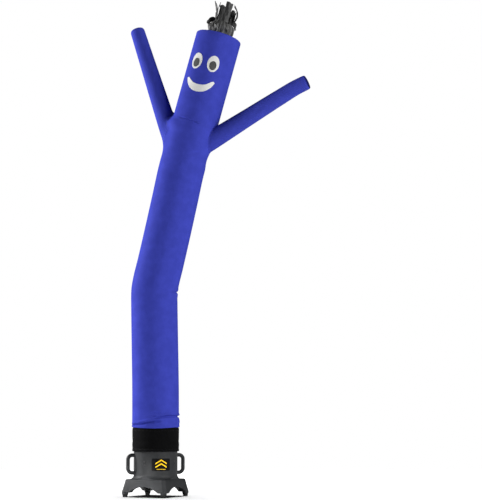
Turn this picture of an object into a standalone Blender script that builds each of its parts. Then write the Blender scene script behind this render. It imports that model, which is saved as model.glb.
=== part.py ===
"""An inflatable air dancer: a bent tube of blue cloth with two open arms, a smiling head and a tuft of
black hair, held by a black sleeve on the round outlet of its blower.

Lengths are in metres, and angles in degrees. Heights and places count from the point on the floor
under the blower's axis. An angle round a tube is 0 at the front and grows towards the right.
"""
import math

import bmesh
import bpy
import numpy as np
from mathutils import Matrix, Vector

# The blower's axis, as seen from the middle of the whole model's box
BLOWER_AXIS = (-0.397, 0.016, 0.0)

# Cloth
GAP = 0.0003
PATCH_GAP = 0.0006
CLOTH = 0.002
PATCH = 0.001
TUBE_RADIUS = 0.1525
TUBE_SIDES = 28
ARM_SIDES = 20

# The middle line of the body and the head, from the hem inside the sleeve to the crown
SPINE_ROWS = (
    # name, x, z
    ("hem", 0.0000, 0.427),
    ("shin", -0.0030, 0.700),
    ("knee", -0.0105, 1.060),
    ("under the bend", -0.0143, 1.255),
    ("bend, low", -0.0150, 1.303),
    ("bend", -0.0130, 1.349),
    ("bend, high", -0.0052, 1.394),
    ("waist", 0.0240, 1.518),
    ("ribs", 0.0705, 1.726),
    ("chest", 0.1168, 1.940),
    ("armpit", 0.1635, 2.157),
    ("shoulder", 0.2115, 2.325),
    ("neck", 0.2447, 2.440),
    ("mouth", 0.2916, 2.6135),
    ("crown", 0.4065, 3.038),
)
# Where rings of points lie along the body, and how far apart
BODY_RINGS = (
    # from, to, spacing
    (0.000, 0.014, 0.014),
    (0.014, 0.122, 0.0108),
    (0.122, 0.810, 0.172),
    (0.810, 1.020, 0.0233),
    (1.020, 1.700, 0.170),
    (1.700, 1.850, 0.050),
    (1.850, 1.975, 0.025),
)
NECK_RING = 0.012
SHOULDER_TOP = 0.044
HEAD_RING = 0.084

# Main folds. A fold runs round the tube from its middle angle by its reach, and climbs as it goes.
FOLDS = (
    # name, height along the spine, middle angle, reach, climb per degree, depth (minus is a trough),
    # half width
    ("gather, low front", 0.049, -35, 68, 0.00028, -0.0085, 0.013),
    ("gather, low back", 0.047, 150, 60, -0.00020, -0.0080, 0.014),
    ("gather, high right", 0.086, 62, 66, 0.00008, -0.0090, 0.013),
    ("gather, high back", 0.094, 205, 48, 0.00015, -0.0060, 0.013),
    ("roll on the left", 0.031, -95, 60, 0.00005, 0.0030, 0.012),
    ("roll on the right", 0.064, 95, 62, 0.00010, 0.0055, 0.014),
    ("bend crease", 0.916, 96, 82, 0.00004, -0.0060, 0.020),
    ("bend roll, low", 0.886, 100, 62, 0.00000, 0.0025, 0.024),
    ("bend roll, high", 0.947, 92, 62, 0.00010, 0.0025, 0.024),
    ("shoulder, left", 2.016, -82, 58, 0.00000, 0.0205, 0.064),
    ("upper arm swell, left", 1.940, -80, 60, 0.00000, 0.0060, 0.100),
    ("shoulder, right", 1.968, 72, 50, 0.00000, 0.0060, 0.075),
    ("armpit tuck, right", 1.840, 92, 62, 0.00000, -0.0080, 0.075),
    ("drag line to the left arm", 1.880, -40, 36, -0.00200, -0.0030, 0.028),
    ("drag line to the right arm", 1.860, 30, 34, 0.00180, -0.0030, 0.028),
)
NECK_PINCH = 0.0028
NECK_PINCH_WIDTH = 0.020

# Sleeve
SLEEVE = 0.0028
SLEEVE_ROWS = (
    # height, outer radius
    (0.2920, 0.1512),
    (0.3000, 0.1528),
    (0.3135, 0.1508),
    (0.3350, 0.1528),
    (0.3565, 0.1508),
    (0.3850, 0.1530),
    (0.4390, 0.1532),
)
# How far the tube's hem draws in to sit inside the sleeve, how much of it does, and where the tube
# is full again
HEM_DRAW = 0.0036
HEM_HIDDEN = 0.014
HEM_FULL = 0.026

# Arms. Each starts inside the body and is cut off where it meets it.
ARM_ROWS = {
    # name, x, y, z, radius
    "arm_left": (
        ("inside", 0.130, -0.008, 2.257, 0.0640),
        ("root", 0.0676, 0.0400, 2.444, 0.0630),
        ("upper arm", -0.0080, 0.1000, 2.680, 0.0580),
        ("elbow", -0.0810, 0.1600, 2.910, 0.0530),
        ("hand", -0.1545, 0.2200, 3.143, 0.0485),
    ),
    "arm_right": (
        ("inside", 0.2150, 0.0100, 2.257, 0.0670),
        ("root", 0.3743, -0.0400, 2.346, 0.0640),
        ("upper arm", 0.5900, -0.1140, 2.469, 0.0570),
        ("elbow", 0.8050, -0.1890, 2.592, 0.0520),
        ("wrist", 0.9180, -0.2290, 2.654, 0.0495),
        ("hand", 0.9870, -0.2530, 2.684, 0.0485),
    ),
}
ARM_STATIONS = 11

# Face. Heights count up along the spine from the neck.
FACE_MIDDLE = -13.5
EYE_SPREAD = 22.3
EYE_WIDTH = 0.080
EYE_HEIGHT = 0.109
EYE_ABOVE_NECK = 0.408
PUPIL_WIDTH = 0.047
PUPIL_HEIGHT = 0.061
PUPIL_DROP = 0.013
MOUTH_ABOVE_NECK = 0.202
MOUTH_COLUMNS = 18
MOUTH_LOW = {"half_width": 0.103, "rise": 0.084}
MOUTH_HIGH = {"half_width": 0.090, "rise": 0.039, "lift": 0.050}

# Crown and hair, measured from the head's top edge along its own axis
CAP_ROWS = (
    # radius, height
    (0.1502, 0.000),
    (0.0900, 0.010),
    (0.0660, 0.010),
)
BUNCH_ROWS = (
    # height above the cap, radius, how much of the crumpling shows
    (0.000, 0.0730, 0.00),
    (0.018, 0.0770, 0.60),
    (0.042, 0.0840, 1.00),
    (0.064, 0.0860, 1.00),
    (0.080, 0.0740, 0.60),
    (0.092, 0.0600, 0.00),
)
BUNCH_SIDES = 24
CRUMPLES = (
    # ripples round, depth, phase, turn per metre of height
    (5, 0.0050, 40, 900),
    (9, 0.0030, 110, -1700),
)
HAIR_BAND = {"radius": 0.059, "height": 0.012, "wall": 0.004}
HAIR_STRIPS = (
    # angle of its root, width, turn of its face, out at half height, out at its tip, sideways lean, height
    (-84, 0.036, 2, 0.002, 0.032, 0, 0.127),
    (-56, 0.028, -38, 0.008, 0.000, 0, 0.122),
    (-26, 0.032, 14, -0.002, -0.004, 0, 0.106),
    (12, 0.045, -6, 0.000, -0.004, 0, 0.137),
    (48, 0.034, 35, 0.010, -0.006, 0, 0.092),
    (80, 0.034, 24, 0.027, -0.010, 0, 0.134),
    (112, 0.040, 20, 0.008, 0.010, 8, 0.102),
    (145, 0.042, 0, 0.006, 0.012, -6, 0.116),
    (180, 0.044, 8, 0.004, 0.004, 5, 0.098),
    (214, 0.040, -14, 0.012, 0.020, -8, 0.112),
    (248, 0.038, 20, 0.008, 0.006, 6, 0.094),
)
HAIR_DROOPS = (
    # angle of its root, width, reach out, drop at its tip
    (-100, 0.034, 0.042, 0.034),
    (-140, 0.030, 0.036, 0.020),
    (64, 0.032, 0.040, 0.012),
    (98, 0.034, 0.036, 0.024),
    (165, 0.036, 0.038, 0.026),
)

# Blower
BLOWER_TURN = 18.0
DUCT_RADIUS = 0.142
DUCT_WALL = 0.004
DUCT_SIDES = 32
BEAD_RADIUS = 0.1475
RIM_TOP = 0.375
DUCT_ROWS = (
    # radius, height, from the fillet up to the rim
    (0.1690, 0.1130),
    (0.1565, 0.1175),
    (0.1470, 0.1280),
    (DUCT_RADIUS, 0.1440),
    (DUCT_RADIUS, 0.3100),
    (BEAD_RADIUS, 0.3125),
    (BEAD_RADIUS, 0.3145),
    (DUCT_RADIUS, 0.3170),
    (DUCT_RADIUS, 0.3530),
    (BEAD_RADIUS, 0.3555),
    (BEAD_RADIUS, 0.3575),
    (DUCT_RADIUS, 0.3600),
    (DUCT_RADIUS, RIM_TOP),
)
CAVITY_ROWS = (
    # radius, height, from under the base up past the rim
    (0.1560, 0.0000),
    (0.1480, 0.0850),
    (DUCT_RADIUS - DUCT_WALL, 0.1090),
    (DUCT_RADIUS - DUCT_WALL, RIM_TOP + 0.02),
)
BASE_ROWS = (
    # height, half of the side
    (0.0290, 0.1615),
    (0.0330, 0.1655),
    (0.1090, 0.1490),
    (0.1140, 0.1450),
)
BASE_CORNER = 0.020
BASE_CORNER_STEPS = 3
ARCH_RADIUS = 0.185
ARCH_TOP = 0.067
ARCH_SIDES = 64
NOTCH_WIDTH = 0.015
NOTCH_DEPTH = 0.010
FOOT_REACH = 0.202
BOSS_ROWS = (
    # height, radius
    (0.0193, 0.0200),
    (0.0250, 0.0215),
    (0.0500, 0.0170),
)
FOOT_ROWS = (
    # height, radius
    (0.0000, 0.0140),
    (0.0190, 0.0190),
)
FOOT_SIDES = 12
HANDLE_BAR = 0.012
HANDLE_REACH = 0.1845
HANDLE_LOW = 0.154
HANDLE_HIGH = 0.267
HANDLE_BEND = 0.027
HANDLE_SIDES = 10
GRIP_BAND = {"low": 0.3200, "high": 0.3500, "thick": 0.0015}
SCREW_RADIUS = 0.004
SCREW_HEAD = 0.0024
SCREW_HEIGHTS = (0.206, 0.227)
SCREW_SIDES = 8
LABEL_WIDTH = 0.122
LABEL_HEIGHT = 0.078
LABEL_MIDDLE = 0.209

COLOURS = {
    # slot: colour, roughness, metallic
    "cloth_blue": ((0.028, 0.032, 0.42, 1), 0.62, 0),
    "cloth_black": ((0.010, 0.010, 0.011, 1), 0.85, 0),
    "hair_cloth": ((0.030, 0.030, 0.032, 1), 0.60, 0),
    "cloth_white": ((0.80, 0.80, 0.78, 1), 0.70, 0),
    "cloth_grey": ((0.075, 0.080, 0.078, 1), 0.70, 0),
    "housing_plastic": ((0.045, 0.046, 0.048, 1), 0.60, 0),
    "grip_tape": ((0.020, 0.024, 0.026, 1), 0.80, 0),
    "foot_rubber": ((0.012, 0.012, 0.012, 1), 0.75, 0),
    "screw_steel": ((0.020, 0.020, 0.021, 1), 0.35, 1),
    "label_film": ((0.012, 0.010, 0.010, 1), 0.40, 0),
}


def clear_scene():
    """Remove every object that the scene holds."""
    for thing in list(bpy.data.objects):
        bpy.data.objects.remove(thing, do_unlink=True)


def material(slot):
    """The material of one slot, made the first time that it is asked for."""
    found = bpy.data.materials.get(slot)
    if found:
        return found
    made = bpy.data.materials.new(slot)
    made.use_nodes = True
    shader = made.node_tree.nodes["Principled BSDF"]
    colour, roughness, metallic = COLOURS[slot]
    shader.inputs["Base Color"].default_value = colour
    shader.inputs["Roughness"].default_value = roughness
    shader.inputs["Metallic"].default_value = metallic
    made.diffuse_color = colour
    return made


def add_object(name, points, faces, slot, smooth=40):
    """One object from points and faces, under the empty that places the whole model."""
    mesh = bpy.data.meshes.new(name)
    mesh.from_pydata([tuple(point) for point in points], [], faces)
    thing = bpy.data.objects.new(name, mesh)
    bpy.context.scene.collection.objects.link(thing)
    thing.parent = bpy.data.objects["dancer"]
    mesh.shade_smooth()
    mesh.set_sharp_from_angle(angle=math.radians(smooth))
    if slot:
        mesh.materials.append(material(slot))
    else:
        thing.hide_render = True
        thing.display_type = "WIRE"
    return thing


def combine(thing, other, operation):
    """Add, cut away or keep what the other object covers."""
    change = thing.modifiers.new(operation.lower() + " " + other.name, "BOOLEAN")
    change.object = other
    change.operation = operation
    change.solver = "EXACT"


def ring_faces(count, sides, closed):
    """Triangles between rings of points, all split the same way, so that a cutter matches what it clears.

    A closed run also joins the last ring to the first.
    """
    faces = []
    for ring in range(count if closed else count - 1):
        low = ring * sides
        high = (ring + 1) % count * sides
        for side in range(sides):
            after = (side + 1) % sides
            faces.append((low + side, low + after, high + after))
            faces.append((low + side, high + after, high + side))
    return faces


def shell(name, outer, inner, slot):
    """A wall of cloth or plastic between two lists of rings, open at both ends."""
    rings = list(outer) + list(inner)[::-1]
    faces = ring_faces(len(rings), len(rings[0]), True)
    return add_object(name, np.concatenate(rings), faces, slot)


def solid(name, rings, slot):
    """A solid through a list of rings, with a flat face at each end."""
    sides = len(rings[0])
    faces = ring_faces(len(rings), sides, False)
    faces.append(tuple(range(sides))[::-1])
    faces.append(tuple(range((len(rings) - 1) * sides, len(rings) * sides)))
    return add_object(name, np.concatenate(rings), faces, slot)


class Line:
    """A smooth curve through rows of points, read by the distance along it."""

    def __init__(self, points):
        self.points = np.array(points, float)
        steps = np.linalg.norm(np.diff(self.points, axis=0), axis=1)
        self.along = np.concatenate(([0.0], np.cumsum(steps)))
        self.slopes = np.gradient(self.points, self.along, axis=0)
        self.length = self.along[-1]

    def at(self, distance):
        """The point and the unit direction at this distance; the ends run on straight."""
        held = min(max(distance, 0.0), self.length)
        row = min(int(np.searchsorted(self.along, held, side="right")) - 1, len(self.along) - 2)
        span = self.along[row + 1] - self.along[row]
        t = (held - self.along[row]) / span
        p0, p1 = self.points[row], self.points[row + 1]
        m0, m1 = self.slopes[row] * span, self.slopes[row + 1] * span
        point = (2 * t**3 - 3 * t**2 + 1) * p0 + (t**3 - 2 * t**2 + t) * m0
        point = point + (3 * t**2 - 2 * t**3) * p1 + (t**3 - t**2) * m1
        slope = (6 * t**2 - 6 * t) * (p0 - p1) + (3 * t**2 - 4 * t + 1) * m0 + (3 * t**2 - 2 * t) * m1
        direction = slope / np.linalg.norm(slope)
        return point + direction * (distance - held), direction


def ring_axes(direction):
    """The front and right directions of a ring that faces along this direction."""
    front = np.array((0.0, -1.0, 0.0))
    front = front - direction * (front @ direction)
    front = front / np.linalg.norm(front)
    return front, np.cross(direction, front)


def spin(angle, front, side):
    """The outward direction at one angle round a ring."""
    turn = math.radians(angle)
    return front * math.cos(turn) + side * math.sin(turn)


def tube_rings(line, distances, sides, radius_at):
    """Rings of points round a line, each as wide as radius_at says for its distance and angle."""
    rings = []
    for distance in distances:
        centre, direction = line.at(distance)
        front, side = ring_axes(direction)
        angles = [360 * step / sides for step in range(sides)]
        ring = [centre + spin(angle, front, side) * radius_at(distance, angle) for angle in angles]
        rings.append(np.array(ring))
    return rings


def stops(start, end, spacing):
    """Even distances from start to end, no further apart than the spacing."""
    count = max(1, math.ceil((end - start) / spacing - 0.001))
    return [start + (end - start) * step / count for step in range(count + 1)]


def bump(offset, width):
    """A smooth hill from 1 in the middle to 0 at the width."""
    return math.cos(math.pi / 2 * offset / width) ** 2 if abs(offset) < width else 0.0


SPINE = Line([(x, 0.0, z) for name, x, z in SPINE_ROWS])
SPINE_NAMES = [name for name, x, z in SPINE_ROWS]
CHEST = SPINE.along[SPINE_NAMES.index("chest")]
NECK = SPINE.along[SPINE_NAMES.index("neck")]
CROWN = SPINE.length


def fold_offset(along, angle):
    """How far the folds push the cloth out at one place."""
    offset = 0.0
    for name, height, middle, reach, climb, depth, half_width in FOLDS:
        turn = (angle - middle + 180) % 360 - 180
        offset += depth * bump(turn, reach) * bump(along - height - climb * turn, half_width)
    return offset - NECK_PINCH * bump(along - NECK, NECK_PINCH_WIDTH)


def body_radius(along, angle):
    """The outer radius of the body and head."""
    drawn_in = HEM_DRAW * max(0.0, min(1.0, (HEM_FULL - along) / (HEM_FULL - HEM_HIDDEN)))
    return TUBE_RADIUS - drawn_in + fold_offset(along, angle)


def body_tube(name, distances):
    """A length of the body's tube, open at both ends."""
    outer = tube_rings(SPINE, distances, TUBE_SIDES, body_radius)
    inner = tube_rings(SPINE, distances, TUBE_SIDES, lambda along, angle: body_radius(along, angle) - CLOTH)
    return shell(name, outer, inner, "cloth_blue")


def body_cutter(distances):
    """The space that the body and head take up, with the gap that the arms keep to it."""
    rings = tube_rings(SPINE, distances, TUBE_SIDES, lambda along, angle: body_radius(along, angle) + GAP)
    return solid("body_cutter", rings, None)


def arm_radius(name, line):
    """The outer radius of an arm, as a function of the distance along it."""
    radii = [row[4] for row in ARM_ROWS[name]]
    return lambda along, angle: float(np.interp(along, line.along, radii))


def make_arm(name, body, cutter):
    """An open arm that ends on the body, and the hole in the body that it blows through."""
    line = Line([row[1:4] for row in ARM_ROWS[name]])
    outside = arm_radius(name, line)
    distances = stops(0, line.length, line.length / ARM_STATIONS)
    outer = tube_rings(line, distances, ARM_SIDES, outside)
    inner = tube_rings(line, distances, ARM_SIDES, lambda along, angle: outside(along, angle) - CLOTH)
    arm = shell(name, outer, inner, "cloth_blue")
    combine(arm, cutter, "DIFFERENCE")
    root = line.along[1]
    reach = stops(root - 0.12, root + 0.12, 0.06)
    bore = tube_rings(line, reach, ARM_SIDES, lambda along, angle: outside(along, angle) - CLOTH)
    combine(body, solid(name + "_bore", bore, None), "DIFFERENCE")


def head_point(angle, across, height, radius):
    """A point on the head: across is measured round it from the angle, and height up from the neck."""
    centre, direction = SPINE.at(NECK + height)
    front, side = ring_axes(direction)
    return centre + spin(angle + math.degrees(across / TUBE_RADIUS), front, side) * radius


def patch_oval(name, angle, height, size, radius, slot, rings, sides):
    """An oval patch of cloth that follows the head."""
    points = []
    faces = []
    for lift in (0.0, PATCH):
        points.append(head_point(angle, 0, height, radius + lift))
        for ring in range(1, rings + 1):
            for side in range(sides):
                turn = 2 * math.pi * side / sides
                across = size[0] / 2 * ring / rings * math.cos(turn)
                up = size[1] / 2 * ring / rings * math.sin(turn)
                points.append(head_point(angle, across, height + up, radius + lift))
    layer = 1 + rings * sides
    rim = layer - sides
    for side in range(sides):
        after = (side + 1) % sides
        faces.append((0, 1 + after, 1 + side))
        faces.append((layer, layer + 1 + side, layer + 1 + after))
        for ring in range(1, rings):
            low, high = 1 + (ring - 1) * sides, 1 + ring * sides
            faces.append((low + side, low + after, high + after, high + side))
            corners = (low + side, high + side, high + after, low + after)
            faces.append(tuple(layer + corner for corner in corners))
        faces.append((rim + side, rim + after, layer + rim + after, layer + rim + side))
    add_object(name, points, faces, slot)


def mouth_edges(share):
    """The low and high edge of the mouth at one place across, from -1 to 1."""
    low_across = MOUTH_LOW["half_width"] * share
    low_up = MOUTH_LOW["rise"] * abs(share) ** 2.3
    high_across = MOUTH_HIGH["half_width"] * share
    high_up = MOUTH_HIGH["lift"] + MOUTH_HIGH["rise"] * share**2
    return (low_across, low_up), (high_across, high_up)


def make_mouth():
    """The mouth: a wide crescent with blunt ends."""
    points = []
    for step in range(MOUTH_COLUMNS + 1):
        share = 2 * step / MOUTH_COLUMNS - 1
        for across, up in mouth_edges(share):
            for radius in (TUBE_RADIUS + PATCH_GAP, TUBE_RADIUS + PATCH_GAP + PATCH):
                points.append(head_point(FACE_MIDDLE, across, MOUTH_ABOVE_NECK + up, radius))
    faces = [(0, 1, 3, 2)]
    for step in range(MOUTH_COLUMNS):
        at, after = 4 * step, 4 * step + 4
        faces.append((at, at + 2, after + 2, after))
        faces.append((at + 1, after + 1, after + 3, at + 3))
        faces.append((at, after, after + 1, at + 1))
        faces.append((at + 2, at + 3, after + 3, after + 2))
    end = 4 * MOUTH_COLUMNS
    faces.append((end, end + 2, end + 3, end + 1))
    add_object("mouth", points, faces, "cloth_white")


def make_face():
    """Eyes, pupils and mouth, sewn on in layers."""
    eye_radius = TUBE_RADIUS + PATCH_GAP
    pupil_radius = eye_radius + PATCH + PATCH_GAP
    for side, turn in (("left", -EYE_SPREAD), ("right", EYE_SPREAD)):
        angle = FACE_MIDDLE + turn
        eye_size = (EYE_WIDTH, EYE_HEIGHT)
        patch_oval("eye_" + side, angle, EYE_ABOVE_NECK, eye_size, eye_radius, "cloth_white", 3, 16)
        height = EYE_ABOVE_NECK - PUPIL_DROP
        pupil_size = (PUPIL_WIDTH, PUPIL_HEIGHT)
        patch_oval("pupil_" + side, angle, height, pupil_size, pupil_radius, "cloth_grey", 2, 12)
    make_mouth()


def crown_point(angle, radius, height):
    """A point over the head's top edge, in the head's own axes."""
    centre, direction = SPINE.at(CROWN)
    front, side = ring_axes(direction)
    return centre + spin(angle, front, side) * radius + direction * height


def crown_rings(rows, sides, shape=None):
    """Rings round the head's axis from rows of radius and height."""
    rings = []
    for radius, height in rows:
        ring = []
        for step in range(sides):
            angle = 360 * step / sides
            ripple = shape(angle, height) if shape else 0.0
            ring.append(crown_point(angle, radius + ripple, height))
        rings.append(np.array(ring))
    return rings


def make_cap():
    """The head's top panel, with the hole that the hair stands round."""
    top = [(radius, height) for radius, height in CAP_ROWS]
    under = [(radius, height - CLOTH) for radius, height in CAP_ROWS]
    shell("head_cap", crown_rings(top, TUBE_SIDES), crown_rings(under, TUBE_SIDES), "cloth_blue")


def make_bunch():
    """The crumpled lower part of the hair, gathered over the hole."""
    base = CAP_ROWS[-1][1] + GAP
    heights = [row[0] for row in BUNCH_ROWS]
    amounts = [row[2] for row in BUNCH_ROWS]

    def crumple(angle, height):
        amount = float(np.interp(height - base, heights, amounts))
        ripples = 0.0
        for count, depth, phase, turn in CRUMPLES:
            ripples += depth * math.sin(math.radians(count * angle + phase + turn * height))
        return amount * ripples

    outer = [(radius, base + height) for height, radius, amount in BUNCH_ROWS]
    inner = [(radius - CLOTH, height) for radius, height in outer]
    outer_rings = crown_rings(outer, BUNCH_SIDES, crumple)
    inner_rings = crown_rings(inner, BUNCH_SIDES, crumple)
    shell("hair_bunch", outer_rings, inner_rings, "hair_cloth")
    return base + heights[-1]


def ribbon(name, route, across, width, thick):
    """A flat strip along a route of points, as wide across as it is told."""
    rings = []
    for place, point in enumerate(route):
        before = route[max(place - 1, 0)]
        after = route[min(place + 1, len(route) - 1)]
        direction = (after - before) / np.linalg.norm(after - before)
        wide = across - direction * (across @ direction)
        wide = wide / np.linalg.norm(wide) * width / 2
        deep = np.cross(direction, wide)
        deep = deep / np.linalg.norm(deep) * thick / 2
        left, right = point - wide, point + wide
        rings.append(np.array((left - deep, right - deep, right + deep, left + deep)))
    return solid(name, rings, None)


def make_hair(bunch_top):
    """The loose strips of hair, fused at their roots into one narrow band."""
    low = bunch_top + GAP
    high = low + HAIR_BAND["height"]
    radius = HAIR_BAND["radius"]
    outer = crown_rings([(radius, low), (radius, high)], BUNCH_SIDES)
    inner = crown_rings([(radius - HAIR_BAND["wall"], low), (radius - HAIR_BAND["wall"], high)], BUNCH_SIDES)
    band = shell("hair_strips", outer, inner, "hair_cloth")
    centre, direction = SPINE.at(CROWN)
    front, side = ring_axes(direction)
    root = radius - HAIR_BAND["wall"] / 2
    for number, (angle, width, turn, half_out, tip_out, lean, height) in enumerate(HAIR_STRIPS):
        route = []
        for share in (0.0, 0.35, 0.7, 1.0):
            out = root + (4 * half_out - tip_out) * share + (2 * tip_out - 4 * half_out) * share**2
            route.append(crown_point(angle + lean * share, out, low + 0.003 + height * share))
        across = spin(angle + 90 + turn, front, side)
        combine(band, ribbon(f"strip_{number}", route, across, width, CLOTH), "UNION")
    for number, (angle, width, reach, drop) in enumerate(HAIR_DROOPS):
        route = []
        for share in (0.0, 0.5, 1.0):
            fall = low + HAIR_BAND["height"] / 2 + 0.020 * math.sin(math.pi * share) - drop * share**2
            route.append(crown_point(angle, root + reach * share, fall))
        across = spin(angle + 90, front, side)
        combine(band, ribbon(f"droop_{number}", route, across, width, CLOTH), "UNION")


def turned(rows, sides):
    """Level rings from rows of radius and height round the blower's axis."""
    turns = [math.radians(360 * step / sides - 90 + BLOWER_TURN) for step in range(sides)]
    return [np.array([(r * math.cos(t), r * math.sin(t), z) for t in turns]) for r, z in rows]


def square_ring(half, height):
    """A level square with rounded corners, one of them at the front."""
    points = []
    for quarter in range(4):
        for step in range(BASE_CORNER_STEPS + 1):
            turn = math.radians(90 * quarter + 90 * step / BASE_CORNER_STEPS)
            middle = math.radians(45 + 90 * quarter)
            reach = (half - BASE_CORNER) * math.sqrt(2)
            x = reach * math.cos(middle) + BASE_CORNER * math.cos(turn)
            y = reach * math.sin(middle) + BASE_CORNER * math.sin(turn)
            points.append(Vector((x, y, height)))
    turned_by = Matrix.Rotation(math.radians(45 + BLOWER_TURN), 4, "Z")
    return np.array([turned_by @ point for point in points])


def corner_direction(number):
    """The level direction to one corner of the base: front, right, back, left."""
    turn = math.radians(-90 + BLOWER_TURN + 90 * number)
    return np.array((math.cos(turn), math.sin(turn), 0.0))


def upright_rings(centre, rows, sides):
    """Level rings round an upright axis through the centre, from rows of height and radius."""
    turns = [2 * math.pi * step / sides for step in range(sides)]
    x, y = centre[:2]
    return [np.array([(x + r * math.cos(t), y + r * math.sin(t), z) for t in turns]) for z, r in rows]


def box_cutter(name, half_sizes, height, turn):
    """A level box cutter across the blower's axis."""
    mesh = bmesh.new()
    bmesh.ops.create_cube(mesh, size=2)
    bmesh.ops.scale(mesh, vec=half_sizes, verts=mesh.verts)
    bmesh.ops.rotate(mesh, matrix=Matrix.Rotation(math.radians(turn), 3, "Z"), verts=mesh.verts)
    bmesh.ops.translate(mesh, vec=(0, 0, height), verts=mesh.verts)
    points = [tuple(vertex.co) for vertex in mesh.verts]
    faces = [tuple(vertex.index for vertex in face.verts) for face in mesh.faces]
    mesh.free()
    return add_object(name, points, faces, None)


def arch_cutter(name, turn):
    """A long level cylinder that cuts an arch through two opposite sides of the base."""
    along = Matrix.Rotation(math.radians(turn), 4, "Z")
    rings = []
    for reach in (-0.3, 0.3):
        ring = []
        for step in range(ARCH_SIDES):
            angle = 2 * math.pi * (step + 0.5) / ARCH_SIDES
            height = ARCH_TOP - ARCH_RADIUS + ARCH_RADIUS * math.sin(angle)
            ring.append(along @ Vector((reach, ARCH_RADIUS * math.cos(angle), height)))
        rings.append(np.array(ring))
    return solid(name, rings, None)


def handle_bar(name, direction):
    """A round bar bent into a handle, with both ends inside the duct's wall."""
    start = DUCT_RADIUS - DUCT_WALL
    corner = HANDLE_REACH - HANDLE_BEND
    route = [(start, HANDLE_HIGH)]
    for low, middle in ((False, HANDLE_HIGH - HANDLE_BEND), (True, HANDLE_LOW + HANDLE_BEND)):
        for step in range(5):
            turn = math.radians(90 - 22.5 * step - (90 if low else 0))
            route.append((corner + HANDLE_BEND * math.cos(turn), middle + HANDLE_BEND * math.sin(turn)))
    route.append((start, HANDLE_LOW))
    line = [direction * out + np.array((0, 0, up)) for out, up in route]
    across = np.cross(direction, (0, 0, 1))
    rings = []
    for place, point in enumerate(line):
        ahead = line[min(place + 1, len(line) - 1)] - line[max(place - 1, 0)]
        ahead = ahead / np.linalg.norm(ahead)
        outward = np.cross(across, ahead)
        turns = [2 * math.pi * step / HANDLE_SIDES for step in range(HANDLE_SIDES)]
        ring = [point + (outward * math.cos(t) + across * math.sin(t)) * HANDLE_BAR for t in turns]
        rings.append(np.array(ring)[::-1])
    return solid(name, rings, None)


def make_housing():
    """The blower's moulding: a square base with arches, a round duct with two beads, and two handles."""
    base_rings = [square_ring(half, height) for height, half in BASE_ROWS]
    base = solid("blower_housing", base_rings, "housing_plastic")
    flare_rows = [(DUCT_ROWS[0][0], 0.100)] + list(DUCT_ROWS[:4])
    flare = solid("flare", turned(flare_rows, DUCT_SIDES), None)
    limit = [square_ring(BASE_ROWS[-1][1], height) for height in (0.090, 0.200)]
    combine(flare, solid("flare_limit", limit, None), "INTERSECT")
    duct = solid("duct", turned([(DUCT_RADIUS, 0.100)] + list(DUCT_ROWS[4:]), DUCT_SIDES), None)
    combine(base, flare, "UNION")
    combine(base, duct, "UNION")
    for name, number in (("handle_right", 1), ("handle_left", 3)):
        combine(base, handle_bar(name, corner_direction(number)), "UNION")
    combine(base, solid("cavity", turned(CAVITY_ROWS, DUCT_SIDES), None), "DIFFERENCE")
    for name, turn in (("arch_one", 45 + BLOWER_TURN), ("arch_two", 135 + BLOWER_TURN)):
        combine(base, arch_cutter(name, turn), "DIFFERENCE")
    half_sizes = (0.2, NOTCH_WIDTH / 2, NOTCH_DEPTH)
    for name, turn in (("notch_one", BLOWER_TURN), ("notch_two", BLOWER_TURN + 90)):
        combine(base, box_cutter(name, half_sizes, RIM_TOP, turn), "DIFFERENCE")
    for number in range(4):
        rings = upright_rings(corner_direction(number) * FOOT_REACH, BOSS_ROWS, FOOT_SIDES)
        combine(base, solid(f"boss_{number}", rings, None), "UNION")


def make_feet():
    """Four rubber feet under the corners."""
    for number, place in enumerate(("front", "right", "back", "left")):
        rings = upright_rings(corner_direction(number) * FOOT_REACH, FOOT_ROWS, FOOT_SIDES)
        solid("foot_" + place, rings, "foot_rubber")


def make_grip_band():
    """The band of hook tape between the two beads."""
    inside = DUCT_RADIUS + GAP
    outside = inside + GRIP_BAND["thick"]
    outer = turned([(outside, GRIP_BAND["low"]), (outside, GRIP_BAND["high"])], DUCT_SIDES)
    inner = turned([(inside, GRIP_BAND["low"]), (inside, GRIP_BAND["high"])], DUCT_SIDES)
    shell("grip_band", outer, inner, "grip_tape")


def make_sleeve():
    """The black sleeve that grips the two beads and holds the tube's hem."""
    outer = turned([(radius, height) for height, radius in SLEEVE_ROWS], DUCT_SIDES)
    inner = turned([(radius - SLEEVE, height) for height, radius in SLEEVE_ROWS], DUCT_SIDES)
    shell("base_sleeve", outer, inner, "cloth_black")


def make_screws():
    """Pairs of screws on the duct, over the middle of each side of the base."""
    for pair, place in enumerate(("front_right", "back_right", "back_left", "front_left")):
        turn = math.radians(-90 + BLOWER_TURN + 45 + 90 * pair)
        out = np.array((math.cos(turn), math.sin(turn), 0.0))
        across = np.array((-math.sin(turn), math.cos(turn), 0.0))
        for height, level in zip(SCREW_HEIGHTS, ("low", "high")):
            rings = []
            for share, width in ((0.0, 1.0), (0.6, 0.92), (1.0, 0.6)):
                centre = out * (DUCT_RADIUS + GAP + SCREW_HEAD * share) + np.array((0, 0, height))
                ring = []
                for step in range(SCREW_SIDES):
                    angle = 2 * math.pi * step / SCREW_SIDES
                    rise = np.array((0, 0, math.sin(angle)))
                    ring.append(centre + (across * math.cos(angle) + rise) * SCREW_RADIUS * width)
                rings.append(np.array(ring))
            solid(f"screw_{place}_{level}", rings, "screw_steel")


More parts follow.
